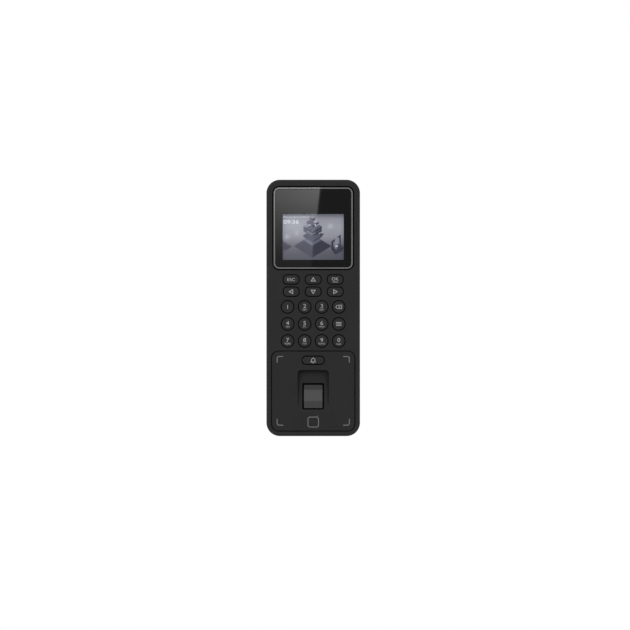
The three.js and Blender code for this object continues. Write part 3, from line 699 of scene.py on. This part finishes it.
def opening(body, outline, rounding):
    """The rounded edge of an opening in the front face. Returns its first and last rings."""
    return body.path(rounded_edge(outline, FACE, rounding, 1) + [(outline, PAINTED_SHADE_FROM)])


def painted_shade_wall(body, edge, outline, depth):
    """A wall from an edge ring down to a depth, in the near-black inner plastic: painted shade in the gap.
    Returns its lower ring.
    """
    body.slot = 1
    lower = body.ring(outline, depth)
    body.strip(edge, lower)
    body.slot = 0
    return lower


def front_cover():
    body = Body()
    chamfer = 0.3
    step_floor = REAR.front + 1.5
    outer = rounded_edge(body_outline, FACE, EDGE, -1, steps=6)
    outer += [
        (body_outline, COVER.back + chamfer),
        (body_outline.grown(-chamfer), COVER.back),
        (body_outline.grown(-SEAM), COVER.back),
        (body_outline.grown(-SEAM), step_floor),
        (body_outline.grown(-SHELL), step_floor),
        (body_outline.grown(-SHELL), SKIN),
    ]
    face_outer, under_outer = body.path(outer)

    face_holes = []
    under_holes = []
    for node, outline in key_outlines.items():
        if node == "key_doorbell":
            continue
        hole = outline.grown(KEY_GAP)
        first, edge = opening(body, hole, KEY_HOLE_EDGE)
        face_holes.append(first)
        # The hole's wall below its rounding is painted shade, in the near-black inner plastic.
        under_holes.append(painted_shade_wall(body, edge, hole, SKIN))

    # The window's pocket has a ledge round the screen's opening. Its wall and the ledge are painted shade,
    # in the near-black inner plastic.
    first, edge = opening(body, window_pocket, POCKET_EDGE)
    face_holes.append(first)
    wall_foot = painted_shade_wall(body, edge, window_pocket, POCKET_FLOOR)
    ledge = painted_shade_wall(body, wall_foot, lcd_opening, POCKET_FLOOR)
    under_holes.append(painted_shade_wall(body, ledge, lcd_opening, SKIN))

    # The lower panel's pocket has two openings in its floor. Its wall is painted shade, in the near-black
    # inner plastic.
    pocket = panel_outline.grown(PANEL_GAP)
    first, edge = opening(body, pocket, PANEL_EDGE)
    face_holes.append(first)
    floor_edge = painted_shade_wall(body, edge, pocket, PANEL_FLOOR)
    trough = Outline(28.1, 37, 2, 0, -67, steps=4)
    floor_holes = []
    for hole in (trough, key_outlines["key_doorbell"].grown(FLANGE + FLANGE_ROOM)):
        top, under = body.path([(hole, PANEL_FLOOR), (hole, SKIN)])
        floor_holes.append(top)
        under_holes.append(under)
    body.fill(floor_edge, floor_holes)

    body.fill(face_outer, face_holes)
    body.fill(under_outer, under_holes)
    # Slot 1, the inner plastic, is painted shade on the walls of the gaps.
    materials = [housing_plastic, inner_plastic]
    body.finish("front_cover_shell", materials, slot="housing", replaces=["front_cover"])


# ---------------- lower panel and its finger well

WELL_BLEND = 0.8  # how softly the well's floor runs out into the panel
LIP = 0.2  # thickness of the lip over the seal's lower edge
LIP_REACH = 0.7
WELL_PIECES = 12  # pieces of each straight side of the well's rings
WELL_WALL = 2.2  # depth of the opening's wall below the floor
WALL_RUN = 1.3  # width of the well's rounded walls, seen from the front
MOUTH_REACH = 0.25  # how far the walls' rounding starts outside the mouth
STEPS = 10  # rings of the walls, and rings of the floor
RUN_OUT = 3.5  # how far the mouth goes on below the floor's end
FRAME_GAP = 0.15
SENSOR_CORNER = 1.3  # radius of the corners of the sensor's opening
SENSOR_FRAME = Place("sensor_seal")


def well_depth(z):
    """How deep the well's floor lies at height z."""
    up = z - WELL_BOTTOM
    return WELL_SLOPE * (math.hypot(up, WELL_BLEND) + up) / 2


def well_floor(share=1.0, below=0.0):
    """The surface at a share of the well's depth, and a distance below that."""
    return lambda x, z: FACE - well_depth(z) * share - below


def finger_well(body):
    """Adds the well. Returns the ring of its mouth on the panel's face, and the foot of its opening."""
    foot = WELL_BOTTOM - RUN_OUT
    middle = (WELL_TOP + foot) / 2
    mouth = Outline(WELL_WIDTH, WELL_TOP - foot, WELL_CORNER, 0, middle, pieces=WELL_PIECES)
    rings = []
    for step in range(STEPS + 1):
        part = step / STEPS
        share = (1 - math.cos(part * math.pi)) / 2
        rings.append(body.ring(mouth.grown(MOUTH_REACH - WALL_RUN * part), well_floor(share)))

    width = SENSOR_FRAME.width + 2 * FRAME_GAP
    height = SENSOR_FRAME.height + 2 * FRAME_GAP
    x = SENSOR_FRAME.x
    z = SENSOR_FRAME.z
    hole = Outline(width, height, SENSOR_CORNER, x, z, pieces=WELL_PIECES).points()
    lip_z = z + LIP_REACH / 2
    lip = Outline(width, height - LIP_REACH, SENSOR_CORNER, x, lip_z, pieces=WELL_PIECES).points()
    inner = mouth.grown(MOUTH_REACH - WALL_RUN).points()
    for step in range(1, STEPS + 1):
        part = step / STEPS
        ring = [(x0 + (x1 - x0) * part, z0 + (z1 - z0) * part) for (x0, z0), (x1, z1) in zip(inner, lip)]
        rings.append(body.ring(ring, well_floor()))

    # Below the sensor, the floor ends in a thin lip over the seal's edge.
    for points, below in ((lip, LIP), (hole, LIP), (hole, WELL_WALL)):
        rings.append(body.ring(points, well_floor(below=below)))
    for first, second in zip(rings, rings[1:]):
        body.strip(first, second)
    return rings[0], rings[-1]


def lower_panel():
    body = Body()
    edge = rounded_edge(panel_outline, FACE, PANEL_EDGE, -1)
    face_outer, rim = body.path(edge + [(panel_outline, PAINTED_SHADE_FROM)])
    # The panel's outer wall below the rounding, and the doorbell hole's wall, are painted shade, in the
    # near-black inner plastic.
    back_outer = painted_shade_wall(body, rim, panel_outline, PANEL_FLOOR)
    hole = key_outlines["key_doorbell"].grown(BELL_GAP)
    bell_top, rim = opening(body, hole, KEY_HOLE_EDGE)
    bell_under = painted_shade_wall(body, rim, hole, PANEL_FLOOR)
    mouth, skirt = finger_well(body)
    body.fill(face_outer, [bell_top, mouth])

    # The trough's outer wall runs from the panel's back round to the sensor's opening.
    trough_wall = Outline(27.1, 36.4, 3, 0, -66.9, pieces=WELL_PIECES)
    top = body.ring(trough_wall, PANEL_FLOOR)
    under_floor = well_floor(below=WELL_WALL)
    bottom = body.ring(trough_wall, lambda x, z: min(PANEL_FLOOR, under_floor(x, z)))
    body.strip(top, bottom)
    body.strip(bottom, skirt)
    body.fill(back_outer, [bell_under, top])
    # Slot 1, the inner plastic, is painted shade on those walls.
    materials = [panel_plastic, inner_plastic]
    body.finish("lower_panel_shell", materials, slot="housing", replaces=["lower_panel"])


def panel_marks():
    """The printed corner brackets round the reader, and the card mark under the sensor."""
    top = -38.9
    bottom = -93.9
    side = 28.9
    arm = 4.9
    bend = 1.6
    bracket_pen = 0.72
    card_pen = 0.62
    tick_pen = 0.6
    body = Body()
    front = flat(FACE + INK)
    corner = [(side - arm, 0)]
    corner += [(side - bend + x, z - bend) for x, z in arc(0, 0, bend, 90, 0)]
    corner += [(side, -arm)]
    for sx in (-1, 1):
        for end, sz in ((top, 1), (bottom, -1)):
            line = [(sx * x, end + sz * z) for x, z in corner]
            lay(body, outlined(stroke(line, bracket_pen)), 0, 0, front)
    card = Outline(8.5, 8.0, 1.8, 0, -91.4, steps=6)
    lay(body, outlined(stroke(card.points(), card_pen, closed=True)), 0, 0, front)
    lay(body, outlined(stroke([(3.3, -86.9), (3.8, -86.3)], tick_pen)), 0, 0, front)
    body.finish("panel_marks", [mark_ink], slot="housing")


# ---------------- display

PICTURE_WIDTH = 48.96
PICTURE_HEIGHT = 36.72


def display_trim():
    body = Body()
    width = 1.0
    rim = 0.08  # rounding of its two front edges
    inner = window_outline.grown(-width)
    stations = [(window_outline, TRIM.back)]
    stations += rounded_edge(window_outline, TRIM.front, rim, -1)[::-1]
    stations += rounded_edge(inner, TRIM.front, rim, 1)
    stations += [(inner, TRIM.back)]
    body.path(stations, closed=True)
    body.finish("display_trim_ring", [trim_metal], slot="trim", replaces=["display_trim"], sharp=10)


def display_window():
    """A glass pane with rounded edges. Its border is printed black and its middle is clear."""
    outline = Outline(WINDOW.width, WINDOW.height, 3.2, WINDOW.x, WINDOW.z, steps=10)
    margin = 0.5  # of clear glass about the lit area
    rounding = 0.15
    clear_part = Outline(PICTURE_WIDTH + margin, PICTURE_HEIGHT + margin, 0.3, WINDOW.x, LCD.z, steps=10)
    edge = rounded_edge(outline, WINDOW.front, rounding, -1, steps=2)
    pane = Body()
    front_edge, back_edge = pane.path(edge + [(outline, WINDOW.back)])
    for edge, depth in ((front_edge, WINDOW.front), (back_edge, WINDOW.back)):
        middle = pane.ring(clear_part, depth)
        pane.fill(edge, [middle])
        pane.slot = 1
        pane.fill(middle)
        pane.slot = 0
    materials = [black_glass, window_glass]
    pane.finish("display_pane", materials, ROOT, "display_glass", ["display_window"], sharp=10)


# The isometric grid's step across and down for each unit on the ground, and up for each unit of height.
ISO = (1.0, 0.6, 1.0)

# Glows in the backdrop: place across and up as parts of the picture, size, and strength.
GLOWS = [(-0.43, 0.0, 0.05, 34), (-0.27, 0.08, 0.05, 22), (0.28, 0.24, 0.05, 30), (-0.3, 0.3, 0.2, 10)]


def sky(x, z):
    """The backdrop's colour at a place given as parts of the picture's width and height."""
    stops = [(-0.5, 86), (-0.34, 94), (-0.15, 116), (0.0, 146)]
    stops += [(0.22, 158), (0.4, 146), (0.46, 112), (0.5, 98)]
    for (z0, low), (z1, high) in zip(stops, stops[1:]):
        if z0 <= z <= z1:
            level = low + (high - low) * (z - z0) / (z1 - z0)
    level -= 10 * max(x, 0) * 2 * (0.5 - z)
    level *= 1 - 0.1 * max(abs(x) - 0.44, 0) / 0.06
    for across, up, size, strength in GLOWS:
        away = math.hypot((x - across) * 4 / 3, z - up) / size
        level += strength * math.exp(-away * away)
    return (level, level + 2, level + 13)


LAYER = 0.004  # how far each shape of the picture lies in front of the last


class Picture:
    """The generic picture on the screen: flat shapes with a colour at each corner, in thin layers."""

    def __init__(self):
        self.mesh = bmesh.new()
        self.colours = self.mesh.verts.layers.float_color.new("picture")
        self.depth = LCD.front + 0.05

    def point(self, x, z, shade):
        vertex = self.mesh.verts.new(((LCD.x + x) * MM, -self.depth * MM, (LCD.z + z) * MM))
        vertex[self.colours] = colour(*shade)
        return vertex

    def shape(self, points, shade):
        """Adds a filled polygon."""
        self.depth += LAYER
        corners = [self.point(x, z, shade) for x, z in points]
        for triangle in triangles([corners]):
            self.mesh.faces.new(triangle)

    def ground(self):
        """The backdrop: a soft vertical gradient with a few glows, on a grid."""
        columns = 30
        rows = 24
        corners = []
        for row in range(rows + 1):
            for column in range(columns + 1):
                x = column / columns - 0.5
                z = row / rows - 0.5
                corners.append(self.point(x * PICTURE_WIDTH, z * PICTURE_HEIGHT, sky(x, z)))
        for row in range(rows):
            for column in range(columns):
                i = row * (columns + 1) + column
                self.mesh.faces.new([corners[j] for j in (i, i + 1, i + columns + 2, i + columns + 1)])

    def box(self, origin, low, high, shades):
        """An isometric box. shades are the colours of its top, left and right."""
        i0, j0, k0 = low
        i1, j1, k1 = high

        def at(i, j, k):
            return (origin[0] + (i - j) * ISO[0], origin[1] - (i + j) * ISO[1] + k * ISO[2])

        top, left, right = shades
        self.shape([at(i0, j1, k0), at(i1, j1, k0), at(i1, j1, k1), at(i0, j1, k1)], left)
        self.shape([at(i1, j1, k0), at(i1, j0, k0), at(i1, j0, k1), at(i1, j1, k1)], right)
        self.shape([at(i0, j0, k1), at(i0, j1, k1), at(i1, j1, k1), at(i1, j0, k1)], top)

    def finish(self, name):
        for face in self.mesh.faces:
            if face.normal.y > 0:
                face.normal_flip()
        piece = add_mesh(name, self.mesh, picture_light)
        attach(piece, ROOT)


def screen_picture():
    """A made-up scene: an isometric tower of blocks on a stepped plaza, a ramp and an open gate."""
    picture = Picture()
    picture.ground()

    # The plaza is a stepped pyramid, whose treads are paler on the left than on the right.
    x = -0.5  # the tower's middle
    base = -7.6  # the middle of the plaza's ground
    rise = 0.72
    for step in range(6):
        half = 7.3 - rise * step
        bottom = rise * step
        tread = (86, 88, 104) if step < 5 else (96, 98, 116)
        shades = (tread, (56 + 2 * step, 58 + 2 * step, 74 + 2 * step), (34, 37, 52))
        picture.box((x, base), (-half, -half, bottom), (half, half, bottom + rise), shades)
        z = base + bottom + rise
        picture.shape([(x, z - 1.2 * half), (x + 2 * half, z), (x, z + 1.2 * half)], (58, 60, 76))

    # The tower's foot, with a dark eave at its right.
    foot = (x, -3.1)
    picture.box(foot, (-3.1, -3.1, 0), (3.1, 3.1, 3.4), ((92, 94, 112), (116, 118, 136), (92, 94, 112)))
    picture.box(foot, (-3.9, -3.9, 3.4), (3.9, 3.9, 4.2), ((84, 86, 104), (90, 92, 110), (58, 60, 76)))
    picture.shape([(5.6, 0.2), (9.0, 2.2), (5.6, 3.3)], (62, 64, 82))

    # The tower's head: three storeys of loose blocks round a core.
    storeys = [
        (0.0, [(i, j) for i in range(3) for j in range(3)]),
        (2.2, [(0, 0), (0, 2), (2, 0), (2, 2), (1, 1), (2, 1), (1, 2)]),
        (4.4, [(0, 1), (1, 0), (1, 1), (0, 0)]),
        (6.4, [(0, 0)]),
    ]
    for level, cells in storeys:
        for order, (i, j) in enumerate(sorted(cells, key=sum)):
            low = ((i - 1) * 2.6 - 1.1, (j - 1) * 2.6 - 1.1, level)
            high = ((i - 1) * 2.6 + 1.1, (j - 1) * 2.6 + 1.1, level + 1.75)
            tone = (7 * i + 11 * j + 5 * order) % 3 * 12
            top = (138 + tone, 140 + tone, 158 + tone) if (i + j + order) % 3 == 0 else (98, 100, 118)
            left = (84 + tone, 86 + tone, 104 + tone)
            right = (44 + tone // 2, 46 + tone // 2, 62 + tone // 2)
            picture.box((x, 4.6), low, high, (top, left, right))
    for spark in (-2.7, 1.6):
        around = [(spark - 0.8, 9.7), (spark, 9.1), (spark + 0.8, 9.7), (spark, 10.3)]
        picture.shape(around, (214, 217, 226))

    # A ramp that runs in from the left, and an open gate on the right.
    edge = -PICTURE_WIDTH / 2
    dark = (46, 47, 64)
    shapes = [
        ([(edge, -3.2), (edge, -10.8), (-21.4, -10.6), (-16.8, -7.6)], (72, 68, 84)),
        ([(edge, -3.2), (edge, -6.2), (-16.8, -7.6)], (86, 80, 98)),
        ([(14.4, -9.2), (18.0, -14.2), (24.0, -11.4), (24.2, -7.4), (20.0, -5.6)], (62, 63, 80)),
        ([(14.6, -3.6), (15.9, -4.4), (16.2, -9.6), (18.2, -12.6), (17.6, -14.0), (14.4, -9.6)], dark),
        ([(14.6, -3.6), (22.0, 2.0), (22.0, 0.6), (15.9, -4.4)], dark),
        ([(20.9, 1.2), (22.0, 2.0), (22.3, -10.6), (21.3, -10.0)], dark),
        ([(18.2, -12.6), (17.6, -14.0), (24.2, -9.4), (24.2, -7.6)], dark),
        ([(17.4, -1.6), (20.1, 0.3), (20.2, -5.4), (17.6, -6.2)], (134, 137, 154)),
    ]
    for points, shade in shapes:
        picture.shape(points, shade)
    block = ((190, 193, 206), (128, 130, 148), (58, 60, 78))
    picture.box((18.8, -9.0), (-0.8, -0.8, 0), (0.8, 0.8, 1.7), block)
    picture.finish("screen_picture")


def screen_text():
    """The clock, and a date line above it."""
    body = Body()
    front = flat(LCD.front + 0.4)
    left = LCD.x - PICTURE_WIDTH / 2
    top = LCD.z + PICTURE_HEIGHT / 2
    write(body, "09:36", 3.2, left + 6.8, top - 6.3, front, stretch=1.2, bold=0.16)
    write(body, "2024-05-18 SATURDAY", 1.3, left + 11.0, top - 2.4, front, stretch=1.17)
    body.finish("screen_text", [text_light], slot="screen")


# ---------------- keys

CROWN = 0.22  # how much a key top rises towards its middle
CROWN_RINGS = 6
CROWN_MIDDLE = 0.3  # half the width of the flat middle of a key top
LIP_DROP = 0.02  # from the crown's last ring to the rounded edge
STEM_REACH = 2.0  # half the stem's width, across the key


def key_cap(body, outline, front, flange_front, flange_back, back):
    """A closed key: crowned top, rounded edge, wall, retaining flange and stem."""
    reach = min(outline.width, outline.height) / 2
    stations = []
    for step in range(CROWN_RINGS):
        part = step / CROWN_RINGS
        inset = (reach - CROWN_MIDDLE) * (1 - part)
        rise = 1 - (1 - min(inset / reach, 1)) ** 2
        stations.append((outline.grown(-max(inset, KEY_EDGE)), front - CROWN * (1 - rise)))
    lip = stations[-1][1] - LIP_DROP
    stations += rounded_edge(outline, lip, KEY_EDGE, -1)
    stations.append((outline, PAINTED_SHADE_FROM))
    first, wall = body.path(stations)
    body.fill(first)
    # The wall below the painted-shade depth, the flange and the stem are in slot 2, the near-black inner
    # plastic: painted shade in the gap round the key.
    body.slot = 2
    lower = [
        (outline, flange_front),
        (outline.grown(FLANGE + CAP_INSET), flange_front),
        (outline.grown(FLANGE + CAP_INSET), flange_back),
        (outline.grown(STEM_REACH - reach), flange_back),
        (outline.grown(STEM_REACH - reach), back),
    ]
    top, last = body.path(lower)
    body.strip(wall, top)
    body.fill(last)
    body.slot = 0


def arrow(turn):
    """An outlined triangle that points up, turned by a number of quarter turns."""
    size = 1.9
    angles = [math.radians(90 + turn * 90 + 120 * i) for i in range(3)]
    return stroke([(size * math.cos(a), size * math.sin(a) * 0.95) for a in angles], 0.5, closed=True)


# Each arrow key's quarter turns, and its mark's place across and up from the key's middle.
ARROWS = {
    "key_up": (0, 0, -0.3),
    "key_left": (1, 0.3, 0),
    "key_down": (2, 0, 0.3),
    "key_right": (3, -0.3, 0),
}


def marks_for(node):
    """The printed marks of a key, as a list of loops, about the key's middle."""
    if node in ARROWS:
        turn, x, z = ARROWS[node]
        return [shifted(arrow(turn), x, z)]
    if node == "key_confirm":
        return [stroke([(-2.1, -1.9), (2.1, -1.9)], 0.42)]
    if node == "key_delete":
        tag = [(-2.5, 0), (-1.2, 1.35), (2.4, 1.35), (2.4, -1.35), (-1.2, -1.35)]
        cross = [stroke([(-0.2, 0.6 * way), (1.2, -0.6 * way)], 0.36) for way in (1, -1)]
        return [stroke(tag, 0.42, closed=True)] + cross
    if node == "key_menu":
        return [stroke([(-2.2, z), (2.2, z)], 0.5) for z in (1.2, 0, -1.2)]
    if node == "key_0":
        return [stroke([(-1.6, -1.9), (-1.6, -2.5), (1.6, -2.5), (1.6, -1.9)], 0.36)]
    if node == "key_doorbell":
        dome = [(-1.9, -1.3), (-1.3, -0.8), (-1.3, 0.3)] + arc(0, 0.4, 1.3, 176, 4, 10)
        dome += [(1.3, 0.3), (1.3, -0.8), (1.9, -1.3)]
        clapper = stroke(arc(0, -1.5, 0.7, 200, 340, 4), 0.36)
        return [stroke(dome, 0.42, closed=True), clapper, stroke([(0, 1.6), (0, 2.1)], 0.5)]
    return []


GROUPS = ("ABC", "DEF", "GHI", "JKL", "MNO", "PQRS", "TUV", "WXYZ")
LETTERS = {f"key_{digit}": group for digit, group in enumerate(GROUPS, start=2)}


def words_for(node):
    """A key's lettering, each as its text, its height, its place above the key's middle and its stretch."""
    words = {"key_escape": [("ESC", 2.5, 0, 1.15)], "key_confirm": [("OK", 2.5, 0.45, 1.1)]}.get(node, [])
    digit = node.removeprefix("key_")
    if digit.isdigit():
        words.append((digit, 3.3, 0 if node == "key_1" else 0.75, 1.12))
    if node in LETTERS:
        words.append((LETTERS[node], 1.3, -2.15, 1.05))
    return words


def crowned(outline, front, reach):
    """The surface of a key's crowned top, raised by the ink's thickness."""
    is_round = outline.width == outline.height

    def depth(x, z):
        away = math.dist((x, z), (outline.x, outline.z)) if is_round else abs(z - outline.z)
        return front - CROWN * min(away / reach, 1) ** 2 + INK

    return depth


def keypad():
    for node, outline in key_outlines.items():
        place = Place(node)
        flange_back = place.back + STEM_LENGTH
        body = Body()
        cap = outline.grown(-CAP_INSET)
        key_cap(body, cap, place.front, flange_back + FLANGE_THICKNESS, flange_back, place.back)
        front = crowned(outline, place.front, min(cap.width, cap.height) / 2)
        body.slot = 1
        for loops in marks_for(node):
            lay(body, outlined(loops), outline.x, outline.z, front)
        for text, height, up, stretch in words_for(node):
            write(body, text, height, outline.x, outline.z + up, front, stretch)
        rider = next(name for name, nodes in frame["record"]["behaviour"]["bodies"].items() if node in nodes)
        # Slot 2, the inner plastic, is painted shade on the cap's lower wall.
        materials = [key_plastic, legend_ink, inner_plastic]
        body.finish(node + "_cap", materials, rider, "keys", [node])


# ---------------- screws and the tamper spring


def cross(reach, arm):
    """The outline of a cross recess, as points in the front view."""
    points = []
    for turn in range(4):
        c = math.cos(turn * math.pi / 2)
        s = math.sin(turn * math.pi / 2)
        points += [(x * c - z * s, x * s + z * c) for x, z in ((reach, -arm), (reach, arm), (arm, arm))]
    return points


def cross_screw(name, node, head, thickness, shaft, upright=False):
    """A pan-head screw with a cross recess and a thread. An upright one has its head at the bottom."""
    place = Place(node)
    length = place.height if upright else place.front - place.back
    body = Body()
    edge = disc(head, steps=8)
    core = disc(shaft, steps=8)
    dome = 0.35
    neck = 0.25
    recess = 0.75  # depth of the cross
    thread = 0.16  # its depth
    face_ring, last = body.path([
        (edge.grown(-0.75), 0.0),
        (edge.grown(-0.3), 0.1),
        (edge, dome),
        (edge, thickness),
        (core, thickness),
        (core, thickness + neck),
    ])
    recess_mouth, recess_floor = body.path([(cross(1.6, 0.36), 0.0), (cross(1.0, 0.24), recess)])
    body.fill(face_ring, [recess_mouth])
    body.fill(recess_floor)
    pitch = 0.9
    root = disc(shaft - thread, steps=8)
    for turn in range(int((length - thickness - neck - 1) / pitch)):
        start = thickness + neck + turn * pitch
        for outline, part in ((core, 0.5), (root, 0.75), (core, 1)):
            ring = body.ring(outline, start + pitch * part)
            body.strip(last, ring)
            last = ring
    tip = body.ring(disc(shaft * 0.55, steps=8), length)
    body.strip(last, tip)
    body.fill(tip)
    for vertex in body.mesh.verts:
        across = vertex.co.x
        along = -vertex.co.y
        other = vertex.co.z
        if upright:
            middle = (place.back + place.front) / 2
            bottom = place.z - place.height / 2
            vertex.co = (place.x * MM + across, -middle * MM + other, bottom * MM + along)
        else:
            vertex.co = (place.x * MM + across, -place.back * MM - along, place.z * MM + other)
    body.finish(name, [steel], slot="steel", replaces=[node])


def screws():
    for number in range(1, 5):
        node = f"housing_screw_{number}"
        cross_screw(node + "_cross", node, 2.6, 1.5, 1.2)
    cross_screw("security_screw_cross", "security_screw", 2.8, 0.95, 1.5, upright=True)


def tamper_spring():
    """A wire coil with closed ends, between the plunger's collar and the switch's housing."""
    place = Place("tamper_spring")
    wire = 0.3
    radius = place.width / 2 - wire
    steps = 16  # round each turn
    sides = 8
    turns = 5
    closed = 0.1  # the part of the wire that lies flat at each end
    total = turns * steps
    first = place.back + wire
    last = place.front - wire
    body = Body()
    rings = []
    for step in range(total + 1):
        angle = 2 * math.pi * step / steps
        part = step / total
        rising = min(max((part - closed) / (1 - 2 * closed), 0), 1)
        climb = 0.5 - 0.5 * math.cos(math.pi * rising)
        middle = Vector((radius * math.cos(angle), first + (last - first) * climb, radius * math.sin(angle)))
        out = Vector((math.cos(angle), 0, math.sin(angle)))
        ring = []
        for side in range(sides):
            around = 2 * math.pi * side / sides
            point = middle + out * wire * math.cos(around) + Vector((0, wire * math.sin(around), 0))
            at = ((place.x + point.x) * MM, -point.y * MM, (place.z + point.z) * MM)
            ring.append(body.mesh.verts.new(at))
        rings.append(ring)
    for one, other in zip(rings, rings[1:]):
        body.strip(one, other)
    body.face(rings[0])
    body.face(rings[-1])
    coil = body.finish("tamper_spring_coil", [steel], None, "steel", ["tamper_spring"], sharp=60)
    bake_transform(coil)


# ---------------- stage


def look_at(thing, target):
    thing.rotation_euler = (Vector(target) - thing.location).to_track_quat("-Z", "Y").to_euler()


def add_light(name, place, size, power):
    data = bpy.data.lights.new(name, "AREA")
    data.shape = "RECTANGLE"
    data.size = size[0]
    data.size_y = size[1]
    data.energy = power
    light = add_object(name, data)
    light.location = place
    look_at(light, (0, 0, 0))


CAMERA_DISTANCE = 2000.0
FRAME_WIDTH = 504.5  # what the picture spans at the front face
CAMERA_X = COVER.x + 1.43
CAMERA_Z = COVER.z - 5.68
CARD_REACH = 1.3  # the card's distance in front of the window, as a part of the camera's


def camera():
    data = bpy.data.cameras.new("camera")
    data.sensor_width = 36
    data.lens = data.sensor_width * CAMERA_DISTANCE / FRAME_WIDTH
    data.clip_end = 50
    seer = add_object("camera", data)
    seer.location = (CAMERA_X * MM, -(FACE + CAMERA_DISTANCE) * MM, CAMERA_Z * MM)
    seer.rotation_euler = (math.pi / 2, 0, 0)
    bpy.context.scene.camera = seer


def reflected_card():
    """A graded card behind the camera, which the window reflects as a pale area with a slanted edge."""

    def at(x, z):
        return (
            (x + (x - CAMERA_X) * CARD_REACH) * MM,
            -(FACE + CAMERA_DISTANCE * CARD_REACH) * MM,
            (z + (z - CAMERA_Z) * CARD_REACH) * MM,
        )

    mesh = bmesh.new()
    shades = mesh.verts.layers.float_color.new("glow")
    # Each row: its height on the window, where its slanted edge shows, and its two ends' brightness.
    rows = [
        (100, 6.0, 3.15, 2.1),
        (87, 4.5, 2.55, 1.74),
        (77, 3.4, 1.9, 1.37),
        (65, 2.1, 1.3, 0.95),
        (50, 0.4, 0.7, 0.54),
        (37, -1.1, 0.34, 0.31),
        (28, -2.1, 0.28, 0.26),
    ]
    left = []
    right = []
    for z, edge, bright, dim in rows:
        for side, x, level in ((right, edge, bright), (left, -34, dim)):
            vertex = mesh.verts.new(at(x, z))
            vertex[shades] = (level, level, level, 1)
            side.append(vertex)
    for i in range(len(rows) - 1):
        mesh.faces.new((left[i], right[i], right[i + 1], left[i + 1]))
    glow = bpy.data.materials.new("card_glow")
    tree = Nodes(glow)
    tree.nodes.clear()
    level = tree.node("Attribute", {}, attribute_name="glow").outputs["Color"]
    emission = tree.node("Emission", {"Color": level}).outputs["Emission"]
    tree.node("OutputMaterial", {"Surface": emission})
    card = add_mesh("card", mesh, glow)
    card.visible_camera = False
    card.visible_diffuse = False
    card.visible_shadow = False


def floor():
    mesh = bmesh.new()
    bmesh.ops.create_circle(mesh, cap_ends=True, segments=96, radius=4.5)
    s = Shader("floor_paint")
    s.base(s.noise(3), [(0.3, colour(236)), (0.7, colour(240))])
    s.set(Roughness=0.8, Emission_Color=(1, 1, 1, 1), Emission_Strength=0.45)
    ground = add_mesh("floor", mesh, s.material)
    ground.location.z = -1.0
    ground.visible_diffuse = False
    ground.visible_glossy = False


DOME = 0.5  # brightness of the even light all round
DOME_TILT = 0.15  # how much brighter it is from above, and darker from below
DARK_SIDE = 0.16  # brightness of the dark area behind the camera, which the glass reflects


def world():
    """An even dome of light with a dark area straight in front of the object, and a white backdrop."""
    surroundings = bpy.data.worlds.new("sky")
    bpy.context.scene.world = surroundings
    tree = Nodes(surroundings)
    way = tree.node("TexCoord", {}).outputs["Generated"]
    height = tree.node("SeparateXYZ", {"Vector": way}).outputs["Z"]
    even = tree.range(height, DOME * (1 - DOME_TILT), DOME * (1 + DOME_TILT), start=-1.0)
    facing = tree.node("VectorMath", {0: way, 1: (0, -1, 0)}, operation="DOT_PRODUCT").outputs["Value"]
    outer = math.cos(math.radians(28))  # where the dark area starts
    inner = math.cos(math.radians(16))  # and where it's darkest
    dome = tree.range(facing, even, DARK_SIDE, outer, inner)
    seen = tree.node("LightPath", {}).outputs["Is Camera Ray"]
    level = tree.node("Mix", {"Factor": seen, "A": dome, "B": 1.0}).outputs["Result"]
    background = tree.nodes["Background"]
    background.inputs["Color"].default_value = (1, 1, 1, 1)
    tree.links.new(level, background.inputs["Strength"])


def stage():
    bpy.context.scene.view_settings.view_transform = "Standard"
    world()
    floor()
    camera()
    reflected_card()
    add_light("left_softbox", (-1.6, -2.4, 0.35), (1.4, 2.2), 12)
    add_light("right_softbox", (1.6, -2.4, 0.3), (1.4, 2.2), 8)
    add_light("back_light", (0.6, 2.4, 0.9), (1.6, 1.6), 10)


dress_cad_nodes()
front_cover()
lower_panel()
panel_marks()
display_trim()
display_window()
screen_picture()
screen_text()
keypad()
screws()
tamper_spring()
stage()
